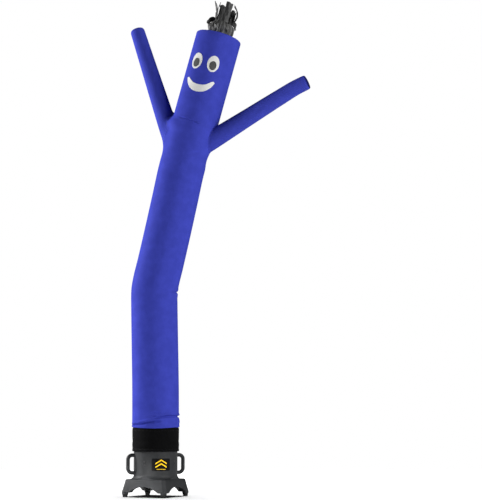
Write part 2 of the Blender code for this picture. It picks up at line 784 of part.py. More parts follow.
def make_label():
    """The bare label plate on the duct, over the front corner."""
    half_turn = math.degrees(LABEL_WIDTH / 2 / DUCT_RADIUS)
    columns = 12
    rings = []
    for step in range(columns + 1):
        turn = math.radians(-90 + BLOWER_TURN - half_turn + 2 * half_turn * step / columns)
        out = np.array((math.cos(turn), math.sin(turn), 0.0))
        ring = []
        for radius, height in ((0, -1), (0, 1), (PATCH, 1), (PATCH, -1)):
            place = out * (DUCT_RADIUS + PATCH_GAP + radius)
            ring.append(place + np.array((0, 0, LABEL_MIDDLE + height * LABEL_HEIGHT / 2)))
        rings.append(np.array(ring))
    solid("label", rings, "label_film")


def make_dancer():
    """Everything sewn of cloth."""
    distances = [0.0]
    for start, end, spacing in BODY_RINGS:
        distances += stops(start, end, spacing)[1:]
    neck_end = NECK - GAP / 2
    distances += stops(distances[-1], neck_end - NECK_RING, 0.026)[1:] + [neck_end]
    body = body_tube("body_tube", distances)
    neck_start = NECK + GAP / 2
    head_distances = [neck_start] + stops(neck_start + NECK_RING, neck_start + SHOULDER_TOP, 0.016)
    head_distances += stops(head_distances[-1], CROWN, HEAD_RING)[1:]
    body_tube("head", head_distances)
    cutter = body_cutter([distance for distance in distances if distance > CHEST] + head_distances)
    for name in ARM_ROWS:
        make_arm(name, body, cutter)
    make_face()
    make_cap()
    make_hair(make_bunch())
    make_sleeve()


def make_blower():
    """The blower that the dancer stands on."""
    make_housing()
    make_feet()
    make_grip_band()
    make_screws()
    make_label()


clear_scene()
dancer = bpy.data.objects.new("dancer", None)
dancer.location = BLOWER_AXIS
bpy.context.scene.collection.objects.link(dancer)
make_dancer()
make_blower()
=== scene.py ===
# %% [markdown]
# # An inflatable air dancer on its blower
#
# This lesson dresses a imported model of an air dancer: a long tube of blue nylon that a blower keeps
# full of air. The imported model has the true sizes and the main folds. Here each cloth piece is made
# again as a thin sheet on the same folds, with the small creases, seams and stitches that a close look
# shows, and the blower is moulded again with rounded edges and a pebbled skin.
#
# All lengths are in metres. The cloth's own numbers count from the point on the floor under the
# blower's axis, and every finished mesh is moved there at the end.

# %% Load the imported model
import math

import bmesh
import bpy
import numpy as np
from mathutils import Matrix, Vector


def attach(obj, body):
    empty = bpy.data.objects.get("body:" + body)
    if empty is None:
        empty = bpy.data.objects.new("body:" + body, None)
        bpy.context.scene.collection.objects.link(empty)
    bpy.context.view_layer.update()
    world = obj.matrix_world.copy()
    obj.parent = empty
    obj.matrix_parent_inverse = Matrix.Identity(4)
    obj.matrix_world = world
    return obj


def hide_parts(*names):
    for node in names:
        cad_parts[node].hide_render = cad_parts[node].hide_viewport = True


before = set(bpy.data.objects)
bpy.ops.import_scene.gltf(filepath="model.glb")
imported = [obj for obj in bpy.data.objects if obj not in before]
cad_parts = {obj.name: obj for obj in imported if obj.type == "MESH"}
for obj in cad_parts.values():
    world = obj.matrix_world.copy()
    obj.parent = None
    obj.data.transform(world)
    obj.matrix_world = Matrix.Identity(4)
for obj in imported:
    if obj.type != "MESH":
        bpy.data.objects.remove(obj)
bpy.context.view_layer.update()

BLOWER_AXIS = np.array((-0.397, 0.016, 0.0))
print("nodes in the packed model:", len(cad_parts))

# %% [markdown]
# ## Where the camera stands
#
# The photo was taken from about ten metres away with a long lens, from hip height, looking a little
# up. That is why the floor is seen almost edge-on and the hand that points at us shows no inside.

# %% The camera
camera_data = bpy.data.cameras.new("camera")
camera_data.sensor_width = 36
camera_data.lens = 109.6
camera = bpy.data.objects.new("camera", camera_data)
camera.location = (0.159, -9.984, 0.55)
camera.rotation_euler = (math.radians(96.05), 0, 0)
bpy.context.scene.collection.objects.link(camera)
bpy.context.scene.camera = camera
print("camera height", camera.location.z, "lens", camera_data.lens)

# %% [markdown]
# ## Light
#
# The cloth is brightest along its left edge, darkest left of the middle, and a little lighter again on
# the right. Two big soft lights give just that: a strong one on the left that stands slightly behind
# the dancer, and a weaker one in front on the right. A narrow light near the floor brightens the left
# face of the blower. The light overhead is kept for the floor, so that the shadow stays close to the
# feet. The sky looks white but gives little light, as a white studio wall that is far away.


# %% Lights
def soft_light(name, place, aim, size, power):
    """A square light that faces the point it is aimed at."""
    data = bpy.data.lights.new(name, "AREA")
    data.size = size
    data.energy = power
    light = bpy.data.objects.new(name, data)
    light.location = place
    light.rotation_euler = (Vector(aim) - Vector(place)).to_track_quat("-Z", "Y").to_euler()
    bpy.context.scene.collection.objects.link(light)
    return light


MIDDLE = (-0.25, 0.0, 1.7)
left_light = soft_light("left light", (-6.2, 1.0, 3.2), MIDDLE, 2.6, 700)
right_light = soft_light("right light", (5.0, -4.0, 3.6), MIDDLE, 2.6, 430)
low_light = soft_light("low light", (-1.5, -2.4, 0.16), (-0.47, -0.10, 0.04), 0.3, 0.5)
low_light.data.spread = math.radians(9)
top_light = soft_light("top light", (-0.2, 0.4, 7.0), (-0.2, 0.4, 0.0), 3.0, 850)

world = bpy.data.worlds.new("sky")
bpy.context.scene.world = world
world.use_nodes = True
sky = world.node_tree.nodes["Background"]
sky.inputs["Color"].default_value = (1.0, 1.0, 1.0, 1)
seen = world.node_tree.nodes.new("ShaderNodeLightPath").outputs["Is Camera Ray"]
strength = world.node_tree.nodes.new("ShaderNodeMapRange")
strength.inputs["To Min"].default_value = 0.07
strength.inputs["To Max"].default_value = 1.0
world.node_tree.links.new(seen, strength.inputs["Value"])
world.node_tree.links.new(strength.outputs["Result"], sky.inputs["Strength"])
bpy.context.scene.view_settings.view_transform = "Standard"

# %% [markdown]
# ## The floor
#
# A wide pale floor, so that the dancer stands on something from every side. It glows softly far from
# the blower, so that it fades into the white sky without a line where the floor ends.

# %% Floor
bpy.ops.object.select_all(action="DESELECT")
bpy.ops.mesh.primitive_plane_add(size=9, location=(0, 0, 0))
floor = bpy.context.object
floor.name = "floor"
floor_paint = bpy.data.materials.new("floor_paint")
floor_paint.use_nodes = True
floor_shader = floor_paint.node_tree.nodes["Principled BSDF"]
floor_shader.inputs["Base Color"].default_value = (0.80, 0.80, 0.80, 1)
floor_shader.inputs["Roughness"].default_value = 0.9
floor_shader.inputs["Specular IOR Level"].default_value = 0.0
floor_place = floor_paint.node_tree.nodes.new("ShaderNodeTexCoord")
from_blower = floor_paint.node_tree.nodes.new("ShaderNodeVectorMath")
from_blower.operation = "DISTANCE"
from_blower.inputs[1].default_value = BLOWER_AXIS
fade = floor_paint.node_tree.nodes.new("ShaderNodeMapRange")
fade.interpolation_type = "SMOOTHSTEP"
fade.inputs["From Min"].default_value = 0.35
fade.inputs["From Max"].default_value = 2.0
fade.inputs["To Max"].default_value = 0.7
floor_paint.node_tree.links.new(floor_place.outputs["Object"], from_blower.inputs[0])
floor_paint.node_tree.links.new(from_blower.outputs["Value"], fade.inputs["Value"])
glow = floor_paint.node_tree.nodes.new("ShaderNodeMath")
glow.operation = "MULTIPLY"
to_camera = floor_paint.node_tree.nodes.new("ShaderNodeLightPath").outputs["Is Camera Ray"]
floor_paint.node_tree.links.new(fade.outputs["Result"], glow.inputs[0])
floor_paint.node_tree.links.new(to_camera, glow.inputs[1])
floor_paint.node_tree.links.new(glow.outputs["Value"], floor_shader.inputs["Emission Strength"])
floor_shader.inputs["Emission Color"].default_value = (1, 1, 1, 1)
floor.data.materials.append(floor_paint)
for light in (left_light, right_light, low_light, top_light):
    state = "INCLUDE" if light == top_light else "EXCLUDE"
    lit = bpy.data.collections.new("lit by the " + light.name)
    lit.objects.link(floor)
    lit.collection_objects[0].light_linking.link_state = state
    light.light_linking.receiver_collection = lit
print("floor side", round(floor.dimensions.x, 1))

# %% [markdown]
# ## How cloth is described
#
# A tube of cloth is a stack of rings along a middle line. The line runs smoothly through a few named
# points, so one short table holds the whole lean of the dancer. On each ring the radius is the sewn
# radius plus what the folds add or take away.

# %% The middle line
TUBE_RADIUS = 0.1525
CLOTH = 0.0010

SPINE_ROWS = (
    # name, x, z
    ("hem", 0.0000, 0.427),
    ("shin", -0.0030, 0.700),
    ("knee", -0.0105, 1.060),
    ("under the bend", -0.0143, 1.255),
    ("bend, low", -0.0150, 1.303),
    ("bend", -0.0130, 1.349),
    ("bend, high", -0.0052, 1.394),
    ("waist", 0.0240, 1.518),
    ("ribs", 0.0705, 1.726),
    ("chest", 0.1168, 1.940),
    ("armpit", 0.1635, 2.157),
    ("shoulder", 0.2115, 2.325),
    ("neck", 0.2447, 2.440),
    ("mouth", 0.2916, 2.6135),
    ("crown", 0.4065, 3.038),
)


def follow(points, distances):
    """Places and unit directions on a smooth curve through the points, at these distances along it."""
    points = np.array(points, float)
    along = np.concatenate(([0.0], np.cumsum(np.linalg.norm(np.diff(points, axis=0), axis=1))))
    slopes = np.gradient(points, along, axis=0)
    distances = np.asarray(distances, float)
    held = np.clip(distances, 0, along[-1])
    row = np.clip(np.searchsorted(along, held, side="right") - 1, 0, len(along) - 2)
    span = (along[row + 1] - along[row])[..., None]
    t = (held - along[row])[..., None] / span
    start, end = points[row], points[row + 1]
    leave, arrive = slopes[row] * span, slopes[row + 1] * span
    place = (2 * t**3 - 3 * t**2 + 1) * start + (t**3 - 2 * t**2 + t) * leave
    place = place + (3 * t**2 - 2 * t**3) * end + (t**3 - t**2) * arrive
    slope = (6 * t**2 - 6 * t) * (start - end) + (3 * t**2 - 4 * t + 1) * leave
    slope = slope + (3 * t**2 - 2 * t) * arrive
    direction = slope / np.linalg.norm(slope, axis=-1, keepdims=True)
    return place + direction * (distances - held)[..., None], direction


SPINE = np.array([(x, 0.0, z) for name, x, z in SPINE_ROWS])
SPINE_ALONG = np.concatenate(([0.0], np.cumsum(np.linalg.norm(np.diff(SPINE, axis=0), axis=1))))
NECK = SPINE_ALONG[[name for name, x, z in SPINE_ROWS].index("neck")]
CROWN = SPINE_ALONG[-1]
print("from the hem to the neck", round(NECK, 3), "and to the crown", round(CROWN, 3))

# %% [markdown]
# ## Folds and creases
#
# A fold here is a soft hill or trough that runs part of the way round the tube. Each row of the table
# is one fold. The long creases over the sleeve wander, so each of those is given by the points that it
# passes through instead. Shallow ripples that run up from the sleeve show where the cloth is gathered.

# %% Folds
FOLDS = (
    # name, height along, middle angle, reach, climb per degree, depth (minus is a trough), half width
    ("gather, low back", 0.047, 150, 60, -0.00020, -0.0080, 0.014),
    ("gather, high back", 0.094, 205, 48, 0.00015, -0.0060, 0.013),
    ("roll on the left", 0.022, -95, 50, 0.00005, 0.0030, 0.012),
    ("roll on the right", 0.056, 95, 62, 0.00010, 0.0050, 0.030),
    ("bend crease", 0.916, 96, 82, 0.00004, -0.0060, 0.020),
    ("bend roll, low", 0.886, 100, 62, 0.00000, 0.0025, 0.024),
    ("bend roll, high", 0.947, 92, 62, 0.00010, 0.0025, 0.024),
    ("shoulder, left", 2.016, -82, 58, 0.00000, 0.0205, 0.064),
    ("upper arm swell, left", 1.940, -80, 60, 0.00000, 0.0060, 0.100),
    ("shoulder, right", 1.968, 72, 50, 0.00000, 0.0040, 0.075),
    ("armpit tuck, right", 1.845, 92, 62, 0.00000, -0.0070, 0.080),
    ("drag line to the right arm", 1.860, 30, 34, 0.00180, -0.0030, 0.028),
)
CREASES = (
    # depth, half width, height of the roll that hangs over it, (angle, height along) points
    (0.0110, 0.0110, 0.0050, ((-84, 0.033), (-42, 0.040), (-15, 0.052), (4, 0.058), (18, 0.061))),
    (0.0110, 0.0090, 0.0045,
     ((-2, 0.075), (16, 0.086), (30, 0.091), (66, 0.092), (90, 0.089), (118, 0.084))),
    (0.0048, 0.0075, 0.0016, ((-8, 0.092), (5, 0.093), (18, 0.092))),
    (0.0040, 0.0080, 0.0014, ((-8, 0.114), (4, 0.116), (16, 0.114))),
    (0.0040, 0.0090, 0.0016, ((120, 0.060), (160, 0.048), (200, 0.056))),
    (0.0042, 0.0065, 0.0014,
     ((-44, NECK + 0.016), (-24, NECK + 0.010), (-4, NECK + 0.003), (16, NECK - 0.003))),
)
NECK_PINCH = 0.0030
NECK_PINCH_FRONT = 0.0002
NECK_PINCH_WIDTH = 0.016
BACK_SEAM = 0.0007
GATHERS = (
    # ripples round, depth, phase, how far up they reach
    (7, 0.0016, 20, 0.42),
    (17, 0.0010, 75, 0.20),
    (31, 0.0006, 10, 0.10),
)


def bump(offset, width):
    """A smooth hill from 1 in the middle to 0 at the width."""
    inside = np.clip(np.abs(offset / width), 0, 1)
    return np.cos(np.pi / 2 * inside) ** 2


def around(angle, middle):
    """How far an angle is from the middle one, from -180 to 180 degrees."""
    return (angle - middle + 180) % 360 - 180


def crease_push(along, angle, depth, width, roll, points):
    """One wandering crease: a trough that fades out at its ends, under a soft roll."""
    angles = np.array([place[0] for place in points], float)
    heights = [place[1] for place in points]
    middle = (angles[0] + angles[-1]) / 2
    turn = around(angle, middle)
    level = np.interp(turn, angles - middle, heights)
    reach = (angles[-1] - angles[0]) / 2
    fade = np.clip((reach - np.abs(turn)) / (0.35 * reach) + 0.35, 0, 1)
    fade = fade * fade * (3 - 2 * fade)
    trough = bump(along - level, width) ** 0.8
    return fade * (roll * bump(along - level - 1.25 * width, 1.3 * width) - depth * trough)


def body_radius(along, angle):
    """The outer radius of the body and head, with every fold on it."""
    pinch = NECK_PINCH + (NECK_PINCH_FRONT - NECK_PINCH) * bump(around(angle, -5), 110) ** 0.5
    radius = TUBE_RADIUS - pinch * bump(along - NECK, NECK_PINCH_WIDTH)
    for name, height, middle, reach, climb, depth, half_width in FOLDS:
        turn = around(angle, middle)
        radius = radius + depth * bump(turn, reach) * bump(along - height - climb * turn, half_width)
    for depth, width, roll, points in CREASES:
        radius = radius + crease_push(along, angle, depth, width, roll, points)
    for count, depth, phase, reach in GATHERS:
        fade = np.clip(1 - along / reach, 0, 1) ** 2
        radius = radius + depth * fade * np.sin(np.radians(count * angle + phase))
    return radius + BACK_SEAM * bump(around(angle, 180), 4)


print("folds:", len(FOLDS), "creases:", len(CREASES), "rows of gathers:", len(GATHERS))


# %% [markdown]
# ## From rings to a sheet
#
# A grid of points becomes a mesh with one face between each four neighbours. While it is made, each
# corner is also told where it lies on the flat cloth, in metres. The weave follows those numbers, so it
# bends with the cloth and never slides over it.

# %% Rings, grids and thickness
def ring_axes(direction):
    """The front and right directions of rings that face along these directions."""
    front = np.array((0.0, -1.0, 0.0)) - direction * (direction @ np.array((0.0, -1.0, 0.0)))[..., None]
    front = front / np.linalg.norm(front, axis=-1, keepdims=True)
    return front, np.cross(direction, front)


def tube_grid(line, distances, angles, radius):
    """Points round a line: a row for each distance and a column for each angle in degrees."""
    centre, direction = follow(line, distances)
    front, side = ring_axes(direction)
    turn = np.radians(angles)
    out = front[..., None, :] * np.cos(turn)[:, None] + side[..., None, :] * np.sin(turn)[:, None]
    return centre[..., None, :] + out * radius[..., None]


def flat_places(points, closed):
    """Where each point lies on the flat cloth, measured along its rows and columns."""
    ring = np.concatenate((points, points[:, :1]), axis=1) if closed else points
    across = np.linalg.norm(np.diff(ring, axis=1), axis=2).mean(axis=0)
    up = np.linalg.norm(np.diff(points, axis=0), axis=2).mean(axis=1)
    u = np.concatenate(([0.0], np.cumsum(across)))
    v = np.concatenate(([0.0], np.cumsum(up)))
    return np.stack(np.meshgrid(u, v), axis=2)


def cloth_mesh(name, points, closed=True, flat=None):
    """A sheet through a grid of points, with its places on the flat cloth as its UV map."""
    rows, columns = points.shape[:2]
    if flat is None:
        flat = flat_places(points, closed)
    faces = []
    corners = []
    for row in range(rows - 1):
        for column in range(columns if closed else columns - 1):
            after = (column + 1) % columns
            low, high = row * columns, (row + 1) * columns
            faces.append((low + column, low + after, high + after, high + column))
            corners += [flat[row, column], flat[row, column + 1]]
            corners += [flat[row + 1, column + 1], flat[row + 1, column]]
    mesh = bpy.data.meshes.new(name)
    mesh.from_pydata((points.reshape(-1, 3) + BLOWER_AXIS).tolist(), [], faces)
    layer = mesh.uv_layers.new(name="cloth")
    layer.data.foreach_set("uv", np.array(corners, np.float32).ravel())
    mesh.shade_smooth()
    piece = bpy.data.objects.new(name, mesh)
    bpy.context.scene.collection.objects.link(piece)
    return piece


def only(piece):
    """Select one piece and nothing else."""
    bpy.ops.object.select_all(action="DESELECT")
    piece.select_set(True)
    bpy.context.view_layer.objects.active = piece


def thicken(piece, thickness=CLOTH, offset=-1):
    """Give a sheet its thickness, inwards from the side that shows."""
    only(piece)
    solidify = piece.modifiers.new("thickness", "SOLIDIFY")
    solidify.thickness = thickness
    solidify.offset = offset
    bpy.ops.object.modifier_apply(modifier=solidify.name)
    piece.data.set_sharp_from_angle(angle=math.radians(55))


def cut_away(piece, cutter):
    """Cut a hole where the cutter is, then remove the cutter."""
    only(piece)
    hole = piece.modifiers.new("hole", "BOOLEAN")
    hole.operation = "DIFFERENCE"
    hole.solver = "EXACT"
    hole.object = cutter
    bpy.ops.object.modifier_apply(modifier=hole.name)
    bpy.data.objects.remove(cutter, do_unlink=True)


def sewn(piece, cloth, flat, nodes=()):
    """Finish a cloth piece: give it its cloth, hang it on the root, hide the imported nodes that it stands for and
    print the size that it was cut to.
    """
    piece.data.materials.clear()
    piece.data.materials.append(bpy.data.materials[cloth])
    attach(piece, "root")
    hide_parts(*nodes)
    print(piece.name, "faces:", len(piece.data.polygons), "cut to", [round(side, 3) for side in flat])


def steps(*spans):
    """Even stops through several spans, each given as its end and its number of steps, from 0."""
    stops = [0.0]
    for end, count in spans:
        stops += list(np.linspace(stops[-1], end, count + 1)[1:])
    return np.array(stops)


# %% [markdown]
# ## Nylon and its weave
#
# The dancer is cut from thin coated nylon. Its thread is too fine to see from a step away, but it
# softens the light, and the coating gives a faint satin gloss. Two crossing sets of waves on the cloth
# coordinates make the weave, and a slow noise makes the slight crinkle that a crushed cloth keeps.


# %% Cloth materials
def start_material(name):
    """An empty node material with its shader, and short names for its nodes and links."""
    made = bpy.data.materials.new(name)
    made.use_nodes = True
    nodes = made.node_tree.nodes
    return nodes, made.node_tree.links, nodes["Principled BSDF"]


def wave(nodes, links, vector, direction, pitch):
    """Even bands a pitch apart, for one set of threads."""
    bands = nodes.new("ShaderNodeTexWave")
    bands.bands_direction = direction
    bands.inputs["Scale"].default_value = 0.31416 / pitch
    links.new(vector, bands.inputs["Vector"])
    return bands.outputs["Fac"]


def math_node(nodes, links, operation, first, second):
    """One sum of two values, each a socket or a number."""
    node = nodes.new("ShaderNodeMath")
    node.operation = operation
    for socket, value in zip(node.inputs, (first, second)):
        if isinstance(value, (int, float)):
            socket.default_value = value
        else:
            links.new(value, socket)
    return node.outputs["Value"]


def tone(nodes, links, value, stops):
    """A colour for each value, from a short list of (value, colour)."""
    ramp = nodes.new("ShaderNodeValToRGB")
    while len(ramp.color_ramp.elements) < len(stops):
        ramp.color_ramp.elements.new(0.5)
    for element, (place, colour) in zip(ramp.color_ramp.elements, stops):
        element.position = place
        element.color = (*colour, 1)
    links.new(value, ramp.inputs["Fac"])
    return ramp.outputs["Color"]


def cloth_material(name, dark, light, roughness, gloss, sheen, pitch, thread, crinkle):
    """Woven cloth: crossing threads, a slow crinkle and a little change of tone."""
    nodes, links, shader = start_material(name)
    place = nodes.new("ShaderNodeTexCoord").outputs["UV"]
    warp = wave(nodes, links, place, "X", pitch)
    weft = wave(nodes, links, place, "Y", pitch)
    weave = math_node(nodes, links, "MULTIPLY", warp, weft)
    slow = nodes.new("ShaderNodeTexNoise")
    slow.inputs["Scale"].default_value = 14
    slow.inputs["Detail"].default_value = 4
    slow.inputs["Roughness"].default_value = 0.55
    links.new(place, slow.inputs["Vector"])
    fine = nodes.new("ShaderNodeBump")
    fine.inputs["Strength"].default_value = 0.5
    fine.inputs["Distance"].default_value = thread
    links.new(weave, fine.inputs["Height"])
    broad = nodes.new("ShaderNodeBump")
    broad.inputs["Strength"].default_value = 0.6
    broad.inputs["Distance"].default_value = crinkle
    links.new(slow.outputs["Fac"], broad.inputs["Height"])
    links.new(fine.outputs["Normal"], broad.inputs["Normal"])
    links.new(broad.outputs["Normal"], shader.inputs["Normal"])
    threads = math_node(nodes, links, "MULTIPLY", weave, 0.25)
    patches = math_node(nodes, links, "MULTIPLY", slow.outputs["Fac"], 0.75)
    mixed = math_node(nodes, links, "ADD", threads, patches)
    links.new(tone(nodes, links, mixed, ((0.30, dark), (0.66, light))), shader.inputs["Base Color"])
    shader.inputs["Roughness"].default_value = roughness
    shader.inputs["Specular IOR Level"].default_value = gloss
    shader.inputs["Sheen Weight"].default_value = sheen
    shader.inputs["Sheen Roughness"].default_value = 0.5
    shader.inputs["Sheen Tint"].default_value = (*light, 1)
    print("material", name, "thread every", pitch * 1000, "mm")


CLOTHS = (
    # name, dark tone, light tone, roughness, gloss, sheen, thread pitch, thread depth, crinkle depth
    ("blue_nylon", (0.0360, 0.0470, 0.345), (0.0475, 0.0610, 0.435), 0.60, 0.01, 0.0, 0.0011, 0.0001, 0.0010),
    ("black_nylon", (0.0022, 0.0022, 0.0024), (0.0034, 0.0034, 0.0037), 0.85, 0.05, 0.02, 0.0016, 0.0002, 0.0015),
    ("white_nylon", (0.70, 0.70, 0.68), (0.78, 0.78, 0.76), 0.65, 0.20, 0.05, 0.0011, 0.0001, 0.0006),
    ("grey_nylon", (0.060, 0.062, 0.060), (0.078, 0.080, 0.078), 0.65, 0.20, 0.05, 0.0011, 0.0001, 0.0006),
)
for row in CLOTHS:
    cloth_material(*row)

# %% [markdown]
# ## Where the arms meet the body
#
# Each arm is a tapered, open tube that is sewn over a hole in the body. Air pressure rounds the cloth
# out on both sides of that seam, so arm and body flow into each other with a soft hollow between them
# and no hard corner. The distance from a point to the body and to the arm are known, so one formula
# gives that hollow: where the two distances are alike, both sheets move out to meet.

# %% The arms' places, and how far a point is from the body or from an arm
ARM_ROWS = {
    # name, x, y, z, radius
    "arm_left": (
        ("inside", 0.130, -0.008, 2.257, 0.0640),
        ("root", 0.0676, 0.0400, 2.444, 0.0630),
        ("upper arm", -0.0080, 0.1000, 2.680, 0.0580),
        ("elbow", -0.0810, 0.1600, 2.910, 0.0530),
        ("hand", -0.1545, 0.2200, 3.143, 0.0485),
    ),
    "arm_right": (
        ("inside", 0.2150, 0.0100, 2.257, 0.0670),
        ("root", 0.3743, -0.0400, 2.346, 0.0640),
        ("upper arm", 0.5900, -0.1140, 2.469, 0.0570),
        ("elbow", 0.8050, -0.1890, 2.592, 0.0520),
        ("wrist", 0.9180, -0.2290, 2.654, 0.0495),
        ("hand", 0.9870, -0.2530, 2.684, 0.0485),
    ),
}
BLEND = {"arm_left": 0.038, "arm_right": 0.010}
spine_stops = np.linspace(0, CROWN, 1400)
spine_places, spine_directions = follow(SPINE, spine_stops)


def nearest_places(points, places):
    """For each point, the number of the place on a line that is nearest to it."""
    return np.array([np.argmin(((places - point) ** 2).sum(axis=1)) for point in points])


def outside_body(points):
    """How far each point is outside the body's cloth; less than 0 is inside."""
    flat = points.reshape(-1, 3)
    nearest = nearest_places(flat, spine_places)
    offset = flat - spine_places[nearest]
    front, side = ring_axes(spine_directions[nearest])
    angle = np.degrees(np.arctan2((offset * side).sum(axis=1), (offset * front).sum(axis=1)))
    distance = np.linalg.norm(offset, axis=1) - body_radius(spine_stops[nearest], angle)
    return distance.reshape(points.shape[:-1])


def arm_line(name):
    """The arm's middle line, its distances and its radii."""
    line = np.array([row[1:4] for row in ARM_ROWS[name]])
    along = np.concatenate(([0.0], np.cumsum(np.linalg.norm(np.diff(line, axis=0), axis=1))))
    return line, along, np.array([row[4] for row in ARM_ROWS[name]])


def outside_arm(name, points):
    """How far each point is outside one arm's cloth."""
    line, along, radii = arm_line(name)
    stops = np.linspace(0, 0.6, 240)
    places, directions = follow(line, stops)
    flat = points.reshape(-1, 3)
    nearest = nearest_places(flat, places)
    distance = np.linalg.norm(flat - places[nearest], axis=1) - np.interp(stops[nearest], along, radii)
    return distance.reshape(points.shape[:-1])


def lift(other, own, width):
    """How far a sheet stands out, where the other cloth is this far away and the sheet itself is own out."""
    share = np.clip(1 - np.abs(other - own) / width, 0, 1)
    return share * share * width / 4


print("blend widths:", BLEND)

# %% [markdown]
# ## The body tube
#
# One length of cloth, rolled and sewn into a tube, from the hem in the black sleeve to the neck seam.
# The grid is fine where the cloth is gathered or bent and coarse where it is smooth. At its foot the
# blown-up tube bulges over the sleeve and hangs a little over its edge in front.

# %% The body tube
BODY_SIDES = 160
FOOT_ROWS = (
    # radius, height, share of the droop, share of the folds
    (0.1478, 0.4370, 0.00, 0.0),
    (0.1482, 0.4465, 0.00, 0.0),
    (0.1500, 0.4494, 0.30, 0.0),
    (0.1524, 0.4484, 0.75, 0.0),
    (0.1543, 0.4492, 1.00, 0.0),
    (0.1553, 0.4520, 0.95, 0.2),
    (0.1552, 0.4555, 0.75, 0.5),
    (0.1546, 0.4590, 0.50, 0.8),
    (0.1538, 0.4622, 0.30, 1.0),
    (0.1531, 0.4655, 0.15, 1.0),
)
FOOT_TOP = 0.042
DROOP = 0.0085
DROOP_OUT = 0.0012
ARMS_FROM = 1.70


def tube_sheet(distances, turned_in=0.0):
    """Points of the body or head at these distances, blended into both arms."""
    along, angle = np.meshgrid(distances, body_angles, indexing="ij")
    radius = body_radius(along, angle)
    radius = radius - turned_in * np.clip((along - CROWN + 0.012) / 0.012, 0, 1) ** 2
    near = distances > ARMS_FROM
    for name, width in BLEND.items():
        out = np.zeros(radius[near].shape)
        for turn in range(4):
            points = tube_grid(SPINE, distances[near], body_angles, radius[near] + out)
            out = lift(outside_arm(name, points), out, width)
        radius[near] += out
    return tube_grid(SPINE, distances, body_angles, radius)


body_angles = np.arange(BODY_SIDES) * 360 / BODY_SIDES
droop = DROOP * bump(around(body_angles, -4), 84) + 0.0022 * bump(around(body_angles, 176), 60)
foot = []
for radius, height, share, folded in FOOT_ROWS:
    fold = body_radius(np.full(BODY_SIDES, height - SPINE[0][2]), body_angles) - TUBE_RADIUS
    out = radius + DROOP_OUT * share * droop / DROOP + folded * fold
    level = height - droop * share
    turn = np.radians(body_angles)
    foot.append(np.stack((out * np.sin(turn), -out * np.cos(turn), level), axis=1))

body_stops = steps((0.132, 34), (0.82, 46), (1.02, 34), (ARMS_FROM, 42), (NECK - 0.03, 72), (NECK, 12))
body_stops = body_stops[body_stops >= FOOT_TOP]
body = cloth_mesh("body_sheet", np.concatenate((np.array(foot), tube_sheet(body_stops))))
thicken(body)
print("rows of cloth:", len(foot) + len(body_stops))

# %% [markdown]
# ## Head
#
# The head is the same tube above the neck seam. It ends in a sewn edge that turns over into the cap.

# %% The head
HEAD_TURN = 0.0010
head_stops = steps((0.20, 50), (CROWN - NECK - 0.014, 44), (CROWN - NECK, 8)) + NECK
head = cloth_mesh("head_sheet", tube_sheet(head_stops, HEAD_TURN))
thicken(head)
print("rows of cloth:", len(head_stops))

# %% [markdown]
# ## Arms
#
# To find an arm's seam, each column of its cloth is followed inwards until it is as near to the body as
# to its own tube. From there the arm runs out to its open hand, which ends in a folded hem. Close to
# the seam the thread puckers the cloth a little.

# %% Where each column of an arm starts
ARM_SIDES = 96
PUCKERS = 19
PUCKER_DEPTH = 0.0005
HAND_HEM = 0.018
HAND_DRAW = 0.0035


def arm_start(name, angles):
    """The distance along the arm at which each column of its cloth starts."""
    line, along, radii = arm_line(name)
    rise = BLEND[name] / 4
    tries = np.linspace(0.02, 0.42, 101)
    tries_grid, angle_grid = np.meshgrid(tries, angles, indexing="ij")
    points = tube_grid(line, tries, angles, np.interp(tries_grid, along, radii) + rise)
    gap = outside_body(points) - rise
    starts = []
    for column in range(len(angles)):
        last = np.nonzero(gap[:, column] < 0)[0][-1]
        low, high = gap[last, column], gap[last + 1, column]
        starts.append(tries[last] + (tries[1] - tries[0]) * low / (low - high))
    return np.array(starts)


arm_angles = np.arange(ARM_SIDES) * 360 / ARM_SIDES
arm_starts = {name: arm_start(name, arm_angles) for name in ARM_ROWS}
for name, starts in arm_starts.items():
    print(name, "leaves the body between", starts.min().round(3), "and", starts.max().round(3))


# %% Make the arms and cut their holes
def arm_points(line, distance, radius):
    """Points of an arm whose columns each have distances of their own."""
    places = np.empty(distance.shape + (3,))
    for column, angle in enumerate(arm_angles):
        grid = tube_grid(line, distance[:, column], np.array([angle]), radius[:, column:column + 1])
        places[:, column] = grid[:, 0]
    return places


arms = {}
seams = {}
for name in ARM_ROWS:
    line, along, radii = arm_line(name)
    starts = arm_starts[name]
    shares = steps((0.16, 26), (0.94, 74), (1.0, 12))
    distance = starts + (along[-1] - starts) * shares[:, None]
    from_seam = distance - starts
    radius = np.interp(distance, along, radii)
    out = np.full(radius.shape, BLEND[name] / 4)
    for turn in range(5):
        out = lift(outside_body(arm_points(line, distance, radius + out)), out, BLEND[name])
    radius = radius + out
    radius = radius + PUCKER_DEPTH * np.exp(-from_seam / 0.02) * np.sin(np.radians(PUCKERS * arm_angles))
    to_end = along[-1] - distance
    radius = radius + 0.0006 * bump(to_end - HAND_HEM / 2, HAND_HEM / 2)
    radius = radius - HAND_DRAW * np.clip(1 - to_end / 0.022, 0, 1) ** 2
    places = arm_points(line, distance, radius)
    seams[name] = places
    arms[name] = cloth_mesh(name + "_sheet", places)
    thicken(arms[name])
    hole = along[1] + np.array((-0.11, -0.02, 0.07))
    hole_radius = (np.interp(hole, along, radii) - 0.003)[:, None] * np.ones(ARM_SIDES)
    for piece in (body, head):
        cutter = cloth_mesh("hole_cutter", tube_grid(line, hole, arm_angles, hole_radius))
        only(cutter)
        bpy.ops.object.mode_set(mode="EDIT")
        bpy.ops.mesh.select_all(action="SELECT")
        bpy.ops.mesh.fill_holes(sides=0)
        bpy.ops.mesh.normals_make_consistent(inside=False)
        bpy.ops.object.mode_set(mode="OBJECT")
        cut_away(piece, cutter)
    print(name, "rows of cloth:", len(shares), "body faces after its hole:", len(body.data.polygons))

